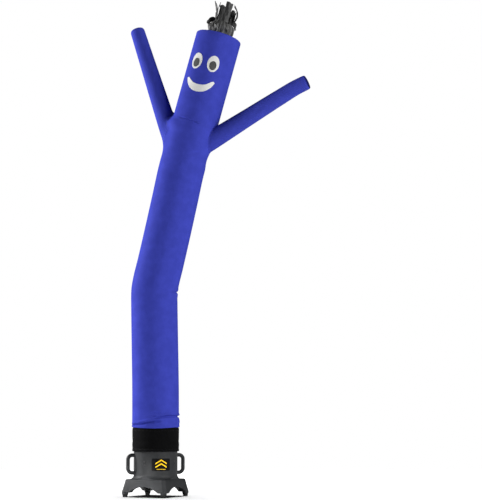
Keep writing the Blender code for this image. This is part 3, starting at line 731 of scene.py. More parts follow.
# %% Sew the body, head and arms
sewn(body, "blue_nylon", (0.958, 2.044), ["body_tube"])
sewn(head, "blue_nylon", (0.958, 0.620), ["head"])
for name, piece in arms.items():
    line, along, radii = arm_line(name)
    sewn(piece, "blue_nylon", (0.36, along[-1] - arm_starts[name].min()), [name])

# %% [markdown]
# ## Stitches
#
# Every seam and hem is held by a row of thread. One stitch is a short rounded bar; it is written once
# and repeated along a line of places, each with the direction that the cloth faces there. The bars
# are half sunk in the cloth, as a tight thread is.

# %% Thread and rows of stitches
STITCH_PITCH = 0.0042
STITCH_LENGTH = 0.0028
STITCH_WIDTH = 0.0006
STITCH_RINGS = ((-0.5, 0.35), (-0.32, 1.0), (0.32, 1.0), (0.5, 0.35))


def thread_material(name, colour):
    """Twisted polyester thread: fine bands of painted shade across each stitch, between the plies of the twist, and
    a faint gloss.
    """
    nodes, links, shader = start_material(name)
    place = nodes.new("ShaderNodeTexCoord").outputs["Object"]
    # Painted shade: bands at 0.7 of the thread's colour stand for the shade between the plies.
    twist_shade_bands = wave(nodes, links, place, "DIAGONAL", 0.0005)
    ply_shade_colour = tuple(0.7 * part for part in colour)
    links.new(tone(nodes, links, twist_shade_bands, ((0.2, ply_shade_colour), (0.8, colour))), shader.inputs["Base Color"])
    shader.inputs["Roughness"].default_value = 0.5


def stitch_row(name, rows, material):
    """Stitches along each row of (places, facing directions), joined into one mesh."""
    points = []
    faces = []
    for places, facing in rows:
        along = np.concatenate(([0.0], np.cumsum(np.linalg.norm(np.diff(places, axis=0), axis=1))))
        middles = np.arange(STITCH_PITCH / 2, along[-1], STITCH_PITCH)
        spots = np.stack([np.interp(middles, along, places[:, axis]) for axis in range(3)], axis=1)
        outs = np.stack([np.interp(middles, along, facing[:, axis]) for axis in range(3)], axis=1)
        ahead = np.gradient(spots, axis=0)
        ahead = ahead / np.linalg.norm(ahead, axis=1, keepdims=True)
        sides = np.cross(ahead, outs)
        for spot, out, forward, side in zip(spots, outs, ahead, sides):
            if np.linalg.norm(side) < 0.5:
                continue
            first = len(points)
            for share, size in STITCH_RINGS:
                middle = spot + forward * STITCH_LENGTH * share
                half = STITCH_WIDTH / 2 * size
                points += [middle + side * half, middle + out * half, middle - side * half, middle - out * half]
            for ring in range(len(STITCH_RINGS) - 1):
                low = first + 4 * ring
                for corner in range(4):
                    after = (corner + 1) % 4
                    faces.append((low + corner, low + after, low + 4 + after, low + 4 + corner))
            last = first + 4 * (len(STITCH_RINGS) - 1)
            faces.append((first + 3, first + 2, first + 1, first))
            faces.append((last, last + 1, last + 2, last + 3))
    mesh = bpy.data.meshes.new(name)
    mesh.from_pydata((np.array(points) + BLOWER_AXIS).tolist(), [], faces)
    mesh.materials.append(bpy.data.materials[material])
    thread = bpy.data.objects.new(name, mesh)
    bpy.context.scene.collection.objects.link(thread)
    only(thread)
    bpy.ops.object.mode_set(mode="EDIT")
    bpy.ops.mesh.select_all(action="SELECT")
    bpy.ops.mesh.normals_make_consistent(inside=False)
    bpy.ops.object.mode_set(mode="OBJECT")
    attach(thread, "root")
    print(name, "stitches:", len(points) // (4 * len(STITCH_RINGS)))


def tube_rows(heights, keep_clear=True):
    """Rows for stitches round the body or head at these distances, left out where an arm is."""
    places = tube_sheet(np.array(heights))
    centres, directions = follow(SPINE, np.array(heights))
    rows = []
    for ring, centre in zip(places, centres):
        facing = ring - centre
        facing = facing / np.linalg.norm(facing, axis=1, keepdims=True)
        closed = np.concatenate((ring, ring[:1]))
        facing = np.concatenate((facing, facing[:1]))
        free = np.ones(len(closed), bool)
        for name, width in BLEND.items():
            free &= outside_arm(name, closed) > width / 4 + 0.002
        breaks = np.nonzero(np.diff(free.astype(int)))[0] + 1
        for run in np.split(np.arange(len(closed)), breaks):
            if free[run[0]] and len(run) > 3:
                rows.append((closed[run], facing[run]))
    return rows


thread_material("thread_blue", (0.020, 0.028, 0.19))
thread_material("thread_black", (0.010, 0.010, 0.011))
thread_material("thread_white", (0.62, 0.62, 0.60))

rows = tube_rows([NECK - 0.006, NECK + 0.006, CROWN - 0.014, CROWN - 0.009])
upright = np.linspace(0.06, CROWN - 0.02, 700)
for angle in (178.6, 181.4):
    centre, direction = follow(SPINE, upright)
    front, side = ring_axes(direction)
    out = front * math.cos(math.radians(angle)) + side * math.sin(math.radians(angle))
    rows.append((centre + out * body_radius(upright, angle)[:, None], out))
for name in ARM_ROWS:
    line, along, radii = arm_line(name)
    for number in (4, -11, -10):
        ring = seams[name][number]
        facing = ring - ring.mean(axis=0)
        facing = facing / np.linalg.norm(facing, axis=1, keepdims=True)
        rows.append((np.concatenate((ring, ring[:1])), np.concatenate((facing, facing[:1]))))
stitch_row("seam_thread", rows, "thread_blue")

# %% [markdown]
# ## The top panel
#
# The head is closed by a round panel with a hole in it. Air lifts the panel a little, and the thread
# round both edges draws small puckers into it. A rolled hem stands up round the hole.

# %% The top panel
CAP_ROWS = (
    # radius, height over the head's edge, share of the puckers
    (0.1500, -0.0030, 0.2),
    (0.1502, 0.0004, 0.5),
    (0.1492, 0.0030, 0.8),
    (0.1450, 0.0062, 0.9),
    (0.1380, 0.0088, 0.7),
    (0.1280, 0.0112, 0.4),
    (0.1100, 0.0130, 0.1),
    (0.0930, 0.0132, 0.1),
    (0.0800, 0.0122, 0.5),
    (0.0720, 0.0108, 0.8),
    (0.0675, 0.0104, 0.6),
    (0.0655, 0.0112, 0.2),
)
CAP_PUCKERS = ((34, 0.0006, 20), (47, 0.0004, 100), (13, 0.0005, 60))


def crown_places(angle, radius, height):
    """Points over the head's top edge, in the head's own axes."""
    centre, direction = follow(SPINE, np.array([CROWN]))
    front, side = ring_axes(direction)
    turn = np.radians(angle)[..., None]
    out = front[0] * np.cos(turn) + side[0] * np.sin(turn)
    return centre[0] + out * np.asarray(radius)[..., None] + direction[0] * np.asarray(height)[..., None]


cap_rows = []
for row in range(len(CAP_ROWS) - 1):
    for share in (0.0, 0.5):
        cap_rows.append([a + (b - a) * share for a, b in zip(CAP_ROWS[row], CAP_ROWS[row + 1])])
cap_rows = np.array(cap_rows + [list(CAP_ROWS[-1])])
cap_angles = np.arange(192) * 360 / 192
ripple = sum(depth * np.sin(np.radians(count * cap_angles + phase)) for count, depth, phase in CAP_PUCKERS)
cap_height = cap_rows[:, 1:2] + cap_rows[:, 2:3] * ripple
cap_radius = cap_rows[:, 0:1] + 0 * ripple
cap = cloth_mesh("cap_sheet", crown_places(cap_angles + 0 * cap_height, cap_radius, cap_height))
thicken(cap)
sewn(cap, "blue_nylon", (0.316, 0.316), ["head_cap"])

# %% [markdown]
# ## The face
#
# The eyes, pupils and mouth are patches of plain cloth, turned in at the edge and sewn on flat. Each
# patch is drawn flat, as it was cut, and then laid on the head, so it follows the head's round surface
# exactly. The edge is a little thicker than the middle, because the cloth is folded under there.

# %% Patches on the head
FACE_MIDDLE = -13.5
PATCH = 0.0007
EDGE_PUFF = 0.0005
PATCH_SHARES = np.array([0.0, 0.3, 0.6, 0.8, 0.90, 0.95, 0.985, 1.0])
PATCH_PUFFS = np.array([0.0, 0.0, 0.0, 0.2, 0.9, 1.0, 0.5, -0.6])


def head_places(middle, across, height, above):
    """Points on the head: across is measured round it from the middle angle, height up from the neck."""
    angle = middle + np.degrees(across / TUBE_RADIUS)
    along = NECK + height
    centre, direction = follow(SPINE, along)
    front, side = ring_axes(direction)
    turn = np.radians(angle)[..., None]
    out = front * np.cos(turn) + side * np.sin(turn)
    return centre + out * (body_radius(along, angle) + above)[..., None], out


def oval(width, height):
    """The outline of an oval patch."""
    turn = np.arange(72) * 2 * np.pi / 72
    return np.stack((width / 2 * np.cos(turn), height / 2 * np.sin(turn)), axis=1)


def patch(name, angle, height, shapes, above, cloth, nodes):
    """A patch from nested outlines, drawn flat and laid on the head."""
    flat = np.array(shapes)
    lift_up = above + PATCH + EDGE_PUFF * PATCH_PUFFS[:, None] + 0 * flat[..., 0]
    places, out = head_places(angle, flat[..., 0], height + flat[..., 1], lift_up)
    piece = cloth_mesh(name, places, True, np.concatenate((flat, flat[:, :1]), axis=1))
    only(piece)
    bpy.ops.object.mode_set(mode="EDIT")
    bpy.ops.mesh.select_all(action="SELECT")
    bpy.ops.mesh.remove_doubles(threshold=0.00001)
    bpy.ops.mesh.normals_make_consistent(inside=False)
    bpy.ops.object.mode_set(mode="OBJECT")
    thicken(piece, PATCH)
    size = flat[-1].max(axis=0) - flat[-1].min(axis=0)
    sewn(piece, cloth, tuple(size), nodes)
    return places[4], out[4]


EYE_SPREAD = 22.3
EYE_HEIGHT = 0.4075
PUPIL_DROP = 0.0125
face_rows = []
pupil_rows = []
for side, turn in (("left", -EYE_SPREAD), ("right", EYE_SPREAD)):
    eye = [oval(0.080, 0.110) * share for share in PATCH_SHARES]
    pupil = [oval(0.047, 0.062) * share for share in PATCH_SHARES]
    middle = FACE_MIDDLE + turn
    row = patch(f"eye_{side}_sheet", middle, EYE_HEIGHT, eye, 0.0004, "white_nylon", [f"eye_{side}"])
    face_rows.append(row)
    height = EYE_HEIGHT - PUPIL_DROP
    row = patch(f"pupil_{side}_sheet", middle, height, pupil, 0.0016, "grey_nylon", [f"pupil_{side}"])
    pupil_rows.append(row)

# %% The mouth
MOUTH_LOW = ((0.000, 0.2000), (0.040, 0.2085), (0.068, 0.2290), (0.088, 0.2540), (0.1000, 0.2780), (0.1025, 0.2850))
MOUTH_HIGH = ((0.000, 0.2500), (0.040, 0.2575), (0.060, 0.2705), (0.074, 0.2840), (0.0860, 0.2920), (0.0960, 0.2930))
MOUTH_COLUMNS = 64


def mouth_edge(half):
    """One long edge of the mouth from its left end to its right, rounded and evenly spaced."""
    line = np.array([(-across, up) for across, up in half[:0:-1]] + list(half))
    for turn in range(4):
        cut = np.empty((2 * len(line) - 2, 2))
        cut[0::2] = 0.75 * line[:-1] + 0.25 * line[1:]
        cut[1::2] = 0.25 * line[:-1] + 0.75 * line[1:]
        line = np.concatenate((line[:1], cut, line[-1:]))
    along = np.concatenate(([0.0], np.cumsum(np.linalg.norm(np.diff(line, axis=0), axis=1))))
    even = np.linspace(0, along[-1], MOUTH_COLUMNS + 1)
    return np.stack([np.interp(even, along, line[:, axis]) for axis in (0, 1)], axis=1)


low, high = mouth_edge(MOUTH_LOW), mouth_edge(MOUTH_HIGH)
up_shares = np.array([0, 0.02, 0.05, 0.10, 0.2, 0.35, 0.5, 0.65, 0.8, 0.90, 0.95, 0.98, 1])
flat = low + (high - low) * up_shares[:, None, None]
to_edge = np.minimum(up_shares, 1 - up_shares)[:, None] * np.linalg.norm(high - low, axis=1)
to_end = np.minimum(np.arange(MOUTH_COLUMNS + 1), MOUTH_COLUMNS - np.arange(MOUTH_COLUMNS + 1)) * 0.0036
inside = np.minimum(to_edge, to_end)
puff = EDGE_PUFF * np.interp(inside, (0, 0.0012, 0.0035, 0.007), (-0.6, 1.0, 0.9, 0.0))
places, out = head_places(FACE_MIDDLE, flat[..., 0], flat[..., 1], 0.0004 + PATCH + puff)
mouth = cloth_mesh("mouth_sheet", places, False, flat)
thicken(mouth, PATCH)
mouth_size = flat.reshape(-1, 2).max(axis=0) - flat.reshape(-1, 2).min(axis=0)
sewn(mouth, "white_nylon", tuple(mouth_size), ["mouth"])
inner = [(2, column) for column in range(1, MOUTH_COLUMNS)]
inner += [(row, MOUTH_COLUMNS - 1) for row in range(3, 10)]
inner += [(10, column) for column in range(MOUTH_COLUMNS - 1, 0, -1)]
inner += [(row, 1) for row in range(9, 2, -1)]
mouth_row = tuple(np.array([grid[place] for place in inner]) for grid in (places, out))


def closed_row(row):
    """A row for stitches that comes back to its start."""
    return tuple(np.concatenate((part, part[:1])) for part in row)


stitch_row("patch_thread", [closed_row(row) for row in face_rows + [mouth_row]], "thread_white")
stitch_row("pupil_thread", [closed_row(row) for row in pupil_rows], "thread_black")

# %% [markdown]
# ## Hair cloth
#
# The hair is the thinnest cloth on the dancer, crushed and slightly sheer. It is full of streaks that
# run along its pleats: the pale ones are painted sheen and the dark ones are painted shade in the folds. A
# noise that is stretched along the cloth gives those streaks, and the same noise bumps its creases.


# %% Hair cloth
def hair_material(name, stretch, stops):
    """Crushed thin cloth: streaks of painted sheen and painted shade along its length, fine threads and small
    creases.
    """
    nodes, links, shader = start_material(name)
    place = nodes.new("ShaderNodeTexCoord").outputs["UV"]
    drawn = nodes.new("ShaderNodeMapping")
    drawn.inputs["Scale"].default_value = (stretch, stretch / 7, 1)
    links.new(place, drawn.inputs["Vector"])
    sheen_and_shade_streaks = nodes.new("ShaderNodeTexNoise")
    sheen_and_shade_streaks.inputs["Scale"].default_value = 1.0
    sheen_and_shade_streaks.inputs["Detail"].default_value = 5
    sheen_and_shade_streaks.inputs["Roughness"].default_value = 0.6
    sheen_and_shade_streaks.inputs["Distortion"].default_value = 0.4
    links.new(drawn.outputs["Vector"], sheen_and_shade_streaks.inputs["Vector"])
    # The streaks are painted sheen and painted shade: the same noise bumps the creases, so the tone is darker in
    # their hollows.
    links.new(tone(nodes, links, sheen_and_shade_streaks.outputs["Fac"], stops), shader.inputs["Base Color"])
    creases = nodes.new("ShaderNodeBump")
    creases.inputs["Strength"].default_value = 0.8
    creases.inputs["Distance"].default_value = 0.0015
    links.new(sheen_and_shade_streaks.outputs["Fac"], creases.inputs["Height"])
    fine = nodes.new("ShaderNodeBump")
    fine.inputs["Strength"].default_value = 0.4
    fine.inputs["Distance"].default_value = 0.00008
    links.new(wave(nodes, links, place, "X", 0.0009), fine.inputs["Height"])
    links.new(creases.outputs["Normal"], fine.inputs["Normal"])
    links.new(fine.outputs["Normal"], shader.inputs["Normal"])
    shader.inputs["Roughness"].default_value = 0.55
    shader.inputs["Specular IOR Level"].default_value = 0.25


# Tones of the hair streaks: the cloth's own dark grey, with painted shade at the dark end and painted sheen at the
# light end.
SHEER_TONES_AND_SHEEN = ((0.36, (0.014, 0.014, 0.014)), (0.48, (0.060, 0.060, 0.059)), (0.60, (0.14, 0.14, 0.14)))
STRIP_TONES_AND_SHEEN = ((0.36, (0.014, 0.014, 0.014)), (0.50, (0.044, 0.044, 0.044)), (0.66, (0.090, 0.090, 0.089)))
hair_material("crushed_nylon", 62, SHEER_TONES_AND_SHEEN)
hair_material("strip_nylon", 90, STRIP_TONES_AND_SHEEN)

# %% [markdown]
# ## The hair bunch
#
# The lower part of the hair is one tube of thin cloth, gathered over the hole in the top panel. Air
# blows it up to a crumpled bag. Pleats run up from the hole and twist a little; sharper folds come
# from taking the size of a wave without its sign.

# %% The bunch
BUNCH_ROWS = (
    # height over the panel, radius, how much of the crumpling shows
    (0.0000, 0.0700, 0.15),
    (0.0060, 0.0725, 0.45),
    (0.0180, 0.0770, 0.80),
    (0.0420, 0.0840, 1.00),
    (0.0600, 0.0855, 1.00),
    (0.0720, 0.0800, 0.90),
    (0.0830, 0.0710, 0.70),
    (0.0920, 0.0600, 0.40),
)
BUNCH_BASE = 0.0112
SOFT_FOLDS = (
    # ripples round, depth, phase, turn per metre of height
    (5, 0.0042, 40, 900),
    (9, 0.0026, 110, -1700),
    (3, 0.0020, 200, 2600),
)
SHARP_FOLDS = (
    (7, 0.0038, 15, 2600),
    (12, 0.0022, 80, -3400),
    (23, 0.0010, 150, 4200),
)


def crumple(angle, height):
    """How far crushed cloth stands out at one angle and height."""
    out = 0.0
    for count, depth, phase, turn in SOFT_FOLDS:
        out = out + depth * np.sin(np.radians(count * angle + phase + turn * height))
    for count, depth, phase, turn in SHARP_FOLDS:
        bend = 40 * np.sin(2 * np.pi * height / 0.045 + np.radians(2 * angle))
        out = out + depth * (1 - 2 * np.abs(np.sin(np.radians(count * angle + phase + turn * height + bend) / 2)))
    return out


bunch_heights = np.linspace(0, BUNCH_ROWS[-1][0], 74)
bunch_angles = np.arange(240) * 360 / 240
heights = [row[0] for row in BUNCH_ROWS]
grid_height, grid_angle = np.meshgrid(bunch_heights, bunch_angles, indexing="ij")
bunch_radius = np.interp(grid_height, heights, [row[1] for row in BUNCH_ROWS])
bunch_radius = bunch_radius + np.interp(grid_height, heights, [row[2] for row in BUNCH_ROWS]) * (
    crumple(grid_angle, grid_height))
bunch_up = BUNCH_BASE + grid_height + 0.003 * np.sin(np.radians(6 * grid_angle + 50)) * grid_height / 0.092
bunch = cloth_mesh("bunch_sheet", crown_places(grid_angle, bunch_radius, bunch_up))
thicken(bunch, 0.0008)
sewn(bunch, "crushed_nylon", (0.64, 0.115), ["hair_bunch"])

# %% [markdown]
# ## The loose strips
#
# Over the tie the cloth is slit into strips that the air blows upwards. Each strip is cupped across
# its width, so that it can stand, and its tip is cut roughly. A few shorter strips hang outwards in
# knots. All of them grow from one narrow tied band.

# %% Strips
HAIR_BAND = {"radius": 0.059, "height": 0.013, "low": 0.1025}
HAIR_STRIPS = (
    # angle of its root, width, turn of its face, out at half height, out at its tip, sideways lean, height
    (-84, 0.036, 14, 0.002, 0.032, 0, 0.127),
    (-56, 0.028, -28, 0.008, 0.000, 0, 0.122),
    (-26, 0.050, 6, -0.002, -0.002, 0, 0.106),
    (16, 0.048, -6, 0.000, -0.004, 0, 0.137),
    (52, 0.034, 35, 0.006, -0.002, 0, 0.048),
    (80, 0.034, 24, 0.027, -0.010, 0, 0.134),
    (112, 0.040, 20, 0.008, 0.010, 8, 0.102),
    (145, 0.042, 0, 0.006, 0.012, -6, 0.116),
    (180, 0.044, 8, 0.004, 0.004, 5, 0.098),
    (214, 0.040, -14, 0.012, 0.020, -8, 0.112),
    (248, 0.038, 20, 0.008, 0.006, 6, 0.094),
)
HAIR_DROOPS = (
    # angle of its root, width, reach out, drop at its tip, turn of its face
    (-100, 0.036, 0.042, 0.030, 62),
    (-140, 0.030, 0.036, 0.020, 20),
    (64, 0.032, 0.036, 0.012, 40),
    (98, 0.036, 0.036, 0.022, 58),
    (165, 0.036, 0.038, 0.026, 0),
)
STRIP_WALL = 0.0007
crown_line, crown_direction = follow(SPINE, np.array([CROWN]))
crown_front, crown_side = ring_axes(crown_direction)


def crown_way(angle):
    """The outward direction at one angle over the head."""
    turn = math.radians(angle)
    return crown_front[0] * math.cos(turn) + crown_side[0] * math.sin(turn)


def ribbon(name, route, across, width, cup, number):
    """A cupped, slightly crushed strip along a route, with a roughly cut tip."""
    shares = np.linspace(0, 1, len(route))
    sides = np.linspace(-1, 1, 11)
    ahead = np.gradient(route, axis=0)
    ahead = ahead / np.linalg.norm(ahead, axis=1, keepdims=True)
    wide = across - ahead * (ahead @ across)[:, None]
    wide = wide / np.linalg.norm(wide, axis=1, keepdims=True)
    deep = np.cross(ahead, wide)
    narrow = width / 2 * (0.92 + 0.08 * np.sin(5 * shares + number))
    wavy = 0.0016 * np.sin(9 * shares[:, None] + 2.2 * sides + 1.7 * number)
    wavy = wavy + 0.0008 * np.sin(23 * shares[:, None] - 5 * sides + number)
    bend = cup * (sides**2 - 0.5) * np.sin(np.pi * np.clip(0.25 + 0.6 * shares[:, None], 0, 1)) + wavy
    rough = 0.0035 * np.sign(np.sin(3 * sides + number)) + 0.0015 * np.sin(11 * sides + 2 * number)
    slide = rough * np.clip(shares[:, None] * 3 - 2, 0, 1)
    grid = route[:, None] + wide[:, None] * (narrow[:, None] * sides)[..., None]
    grid = grid + deep[:, None] * bend[..., None] + ahead[:, None] * slide[..., None]
    piece = cloth_mesh(name, grid, False)
    thicken(piece, STRIP_WALL, 0)
    return piece


def smooth_route(points, count=26):
    """A smooth line of evenly shared places through a few points."""
    points = np.array(points)
    along = np.concatenate(([0.0], np.cumsum(np.linalg.norm(np.diff(points, axis=0), axis=1))))
    return follow(points, np.linspace(0, along[-1], count))[0]


band_angles = np.arange(96) * 360 / 96
band_height = np.linspace(0, HAIR_BAND["height"], 9)
grid_height, grid_angle = np.meshgrid(band_height, band_angles, indexing="ij")
band_radius = HAIR_BAND["radius"] - 0.0035 + 0.0030 * np.sin(np.pi * grid_height / HAIR_BAND["height"])
band_radius = band_radius + 0.35 * crumple(grid_angle, grid_height) * np.sin(np.pi * (grid_height + 0.002) / 0.018)
band = cloth_mesh("strip_sheet", crown_places(grid_angle, band_radius, HAIR_BAND["low"] + grid_height))
thicken(band, STRIP_WALL)
strip_area = 2 * math.pi * HAIR_BAND["radius"] * HAIR_BAND["height"]
root = HAIR_BAND["radius"] - 0.002
strips = []
for number, (angle, width, turn, half_out, tip_out, lean, height) in enumerate(HAIR_STRIPS):
    route = []
    for share in np.linspace(0, 1, 6):
        out = root + (4 * half_out - tip_out) * share + (2 * tip_out - 4 * half_out) * share**2
        up = HAIR_BAND["low"] + 0.003 + height * share
        route.append(crown_places(np.array(angle + lean * share), out, up))
    across = crown_way(angle + 90 + turn)
    strips.append(ribbon("strip", smooth_route(route), across, width, 0.16 * width, number))
    strip_area += 0.93 * width * height
for number, (angle, width, reach, drop, turn) in enumerate(HAIR_DROOPS):
    route = []
    for share in np.linspace(0, 1, 6):
        fall = HAIR_BAND["low"] + 0.006 + 0.012 * math.sin(math.pi * share) - drop * share**2
        route.append(crown_places(np.array(angle + 10 * share), root + reach * share, fall))
    across = crown_way(angle + 90) * math.cos(math.radians(turn)) + crown_direction[0] * math.sin(math.radians(turn))
    strips.append(ribbon("droop", smooth_route(route), across, width, 0.34 * width, 20 + number))
    strip_area += 0.93 * width * 1.25 * (reach + drop)
only(band)
for strip in strips:
    strip.select_set(True)
bpy.ops.object.join()
sewn(band, "strip_nylon", (0.62, 0.14), ["hair_strips"])
print("strips:", len(strips), "cloth in them:", round(strip_area, 4), "square metres")

# %% [markdown]
# ## The black sleeve
#
# A wide band of heavier black cloth joins the tube to the blower. It is pulled over the two beads of
# the duct, so it stands out over each bead and sinks in between, and both of its edges are hemmed.

# %% The sleeve
SLEEVE_ROWS = (
    # height, outer radius
    (0.2920, 0.1496),
    (0.2926, 0.1512),
    (0.2950, 0.1523),
    (0.3000, 0.1528),
    (0.3070, 0.1516),
    (0.3135, 0.1508),
    (0.3240, 0.1522),
    (0.3350, 0.1527),
    (0.3460, 0.1522),
    (0.3565, 0.1508),
    (0.3640, 0.1516),
    (0.3850, 0.1528),
    (0.4240, 0.1528),
    (0.4340, 0.1521),
    (0.4410, 0.1512),
    (0.4446, 0.1500),
)
SLEEVE = 0.0020
SLEEVE_RIPPLES = ((7, 0.0009, 30, 600), (13, 0.0006, 80, -900), (31, 0.0003, 10, 0))

sleeve_heights = np.concatenate(([0.292, 0.2923, 0.2928, 0.2938], np.linspace(0.295, 0.441, 46), [0.443, 0.4446]))
sleeve_angles = np.arange(160) * 360 / 160
grid_height, grid_angle = np.meshgrid(sleeve_heights, sleeve_angles, indexing="ij")
sleeve_radius = np.interp(grid_height, [row[0] for row in SLEEVE_ROWS], [row[1] for row in SLEEVE_ROWS])
for count, depth, phase, turn in SLEEVE_RIPPLES:
    ripple = 0.5 + 0.5 * np.sin(np.radians(count * grid_angle + phase + turn * (grid_height - 0.29)))
    sleeve_radius = sleeve_radius - depth * ripple * bump(grid_height - 0.385, 0.07)
turn = np.radians(grid_angle)
sleeve_points = np.stack((sleeve_radius * np.sin(turn), -sleeve_radius * np.cos(turn), grid_height), axis=2)
sleeve = cloth_mesh("sleeve_sheet", sleeve_points)
thicken(sleeve, SLEEVE)
sewn(sleeve, "black_nylon", (0.960, 0.147), ["base_sleeve"])
rows = []
for number in (7, 8, 44):
    ring = sleeve_points[number]
    facing = ring * np.array((1, 1, 0)) / sleeve_radius[number][:, None]
    rows.append((np.concatenate((ring, ring[:1])), np.concatenate((facing, facing[:1]))))
stitch_row("sleeve_thread", rows, "thread_black")

# %% [markdown]
# ## Moulded plastic and the small materials
#
# The blower is moulded in charcoal plastic with a pebbled skin, which hides scratches. The grain is a
# fine noise pushed into the surface, and a slow noise makes some areas a little duller than others.
# Rubber, blackened steel and the label's film differ in how rough they are and how fine their grain is.


# %% Hard materials
def grain_material(name, dark, light, roughness, gloss, grain_scale, grain_depth, metal=0.0):
    """A hard surface with a fine grain, a slow change of tone and a slow change of gloss."""
    nodes, links, shader = start_material(name)
    place = nodes.new("ShaderNodeTexCoord").outputs["Object"]
    grain = nodes.new("ShaderNodeTexNoise")
    grain.inputs["Scale"].default_value = grain_scale
    grain.inputs["Detail"].default_value = 2
    slow = nodes.new("ShaderNodeTexNoise")
    slow.inputs["Scale"].default_value = 22
    slow.inputs["Detail"].default_value = 5
    links.new(place, grain.inputs["Vector"])
    links.new(place, slow.inputs["Vector"])
    skin = nodes.new("ShaderNodeBump")
    skin.inputs["Strength"].default_value = 0.7
    skin.inputs["Distance"].default_value = grain_depth
    links.new(grain.outputs["Fac"], skin.inputs["Height"])
    links.new(skin.outputs["Normal"], shader.inputs["Normal"])
    speck = math_node(nodes, links, "MULTIPLY", grain.outputs["Fac"], 0.4)
    patches = math_node(nodes, links, "MULTIPLY", slow.outputs["Fac"], 0.6)
    mixed = math_node(nodes, links, "ADD", speck, patches)
    links.new(tone(nodes, links, mixed, ((0.38, dark), (0.64, light))), shader.inputs["Base Color"])
    dull = nodes.new("ShaderNodeMapRange")
    dull.inputs["From Min"].default_value = 0.3
    dull.inputs["From Max"].default_value = 0.7
    dull.inputs["To Min"].default_value = roughness - 0.08
    dull.inputs["To Max"].default_value = roughness + 0.08
    links.new(slow.outputs["Fac"], dull.inputs["Value"])
    links.new(dull.outputs["Result"], shader.inputs["Roughness"])
    shader.inputs["Specular IOR Level"].default_value = gloss
    shader.inputs["Metallic"].default_value = metal
    return bpy.data.materials[name]


def hook_tape(name):
    """Hook tape: ribs that run round the band, with a fine row of hooks across them, and painted shade in the
    grooves between them.
    """
    nodes, links, shader = start_material(name)
    place = nodes.new("ShaderNodeTexCoord").outputs["Object"]
    ribs = wave(nodes, links, place, "Z", 0.0024)
    hooks = nodes.new("ShaderNodeTexNoise")
    hooks.inputs["Scale"].default_value = 900
    links.new(place, hooks.inputs["Vector"])
    height = math_node(nodes, links, "MULTIPLY", ribs, hooks.outputs["Fac"])
    relief = nodes.new("ShaderNodeBump")
    relief.inputs["Strength"].default_value = 0.8
    relief.inputs["Distance"].default_value = 0.0006
    links.new(height, relief.inputs["Height"])
    links.new(relief.outputs["Normal"], shader.inputs["Normal"])
    # Painted shade: the colour follows the relief, darker where it is low, in the grooves between ribs and hooks.
    stops = ((0.15, (0.016, 0.020, 0.022)), (0.75, (0.060, 0.074, 0.082)))
    links.new(tone(nodes, links, height, stops), shader.inputs["Base Color"])
    shader.inputs["Roughness"].default_value = 0.75


grain_material("charcoal_plastic", (0.016, 0.017, 0.018), (0.025, 0.026, 0.028), 0.58, 0.22, 420, 0.0005)
grain_material("black_rubber", (0.008, 0.008, 0.008), (0.015, 0.015, 0.015), 0.80, 0.25, 700, 0.0001)
grain_material("black_steel", (0.050, 0.050, 0.052), (0.090, 0.090, 0.092), 0.40, 0.50, 900, 0.00003, 1.0)
grain_material("black_film", (0.0015, 0.0015, 0.0017), (0.0028, 0.0028, 0.0030), 0.50, 0.10, 260, 0.00003)
grain_material("yellow_ink", (0.92, 0.55, 0.010), (1.00, 0.64, 0.015), 0.55, 0.10, 600, 0.00002)
hook_tape("blue_grey_hooks")
for slot in bpy.data.objects["grip_band"].material_slots:
    slot.material = bpy.data.materials["blue_grey_hooks"]
print("hard materials:", 6)

# %% [markdown]
# ## Turned shapes
#
# The duct, its beads, the feet and the screws are all round. Each starts as a flat disc that is
# extruded upwards and resized, once for every row of a short table, as a potter pulls up a wall.

# %% Turned shapes and joining
BLOWER_TURN = 18.0
DUCT_RADIUS = 0.142


def turned(name, rows, sides=96, place=(0.0, 0.0)):
    """A closed turned solid from rows of radius and height."""
    bpy.ops.object.select_all(action="DESELECT")
    radius, height = rows[0]
    spot = (place[0] + BLOWER_AXIS[0], place[1] + BLOWER_AXIS[1], height)
    bpy.ops.mesh.primitive_circle_add(vertices=sides, radius=radius, fill_type="NGON", location=spot)
    piece = bpy.context.object
    piece.name = name
    bpy.ops.object.transform_apply()
    bpy.ops.object.mode_set(mode="EDIT")
    bpy.ops.mesh.select_mode(type="FACE")
    bpy.ops.mesh.select_all(action="SELECT")
    for (radius, height), (wider, higher) in zip(rows, rows[1:]):
        bpy.ops.mesh.extrude_region_move(TRANSFORM_OT_translate={"value": (0, 0, higher - height)})
        grow = wider / radius
        bpy.ops.transform.resize(value=(grow, grow, 1), center_override=(spot[0], spot[1], higher))
    close_up()
    return piece


def close_up():
    """End editing with every face pointing outwards."""
    bpy.ops.mesh.select_all(action="SELECT")
    bpy.ops.mesh.normals_make_consistent(inside=False)
    bpy.ops.object.mode_set(mode="OBJECT")


def combine(piece, other, operation):
    """Add another solid, cut it away or keep what it covers, and remove it."""
    only(piece)
    change = piece.modifiers.new("change", "BOOLEAN")
    change.operation = operation
    change.solver = "MANIFOLD"
    change.object = other
    bpy.ops.object.modifier_apply(modifier=change.name)
    bpy.data.objects.remove(other, do_unlink=True)


def turn_about_axis(piece, degrees):
    """Turn a piece about the blower's upright axis and apply the turn to its mesh."""
    centre = Vector(BLOWER_AXIS)
    spin = Matrix.Translation(centre) @ Matrix.Rotation(math.radians(degrees), 4, "Z") @ Matrix.Translation(-centre)
    piece.data.transform(spin)


def round_edges(piece, width, angle=30, segments=2):
    """Round every edge that is sharper than the angle."""
    only(piece)
    rounding = piece.modifiers.new("rounding", "BEVEL")
    rounding.width = width
    rounding.segments = segments
    rounding.limit_method = "ANGLE"
    rounding.angle_limit = math.radians(angle)
    bpy.ops.object.modifier_apply(modifier=rounding.name)


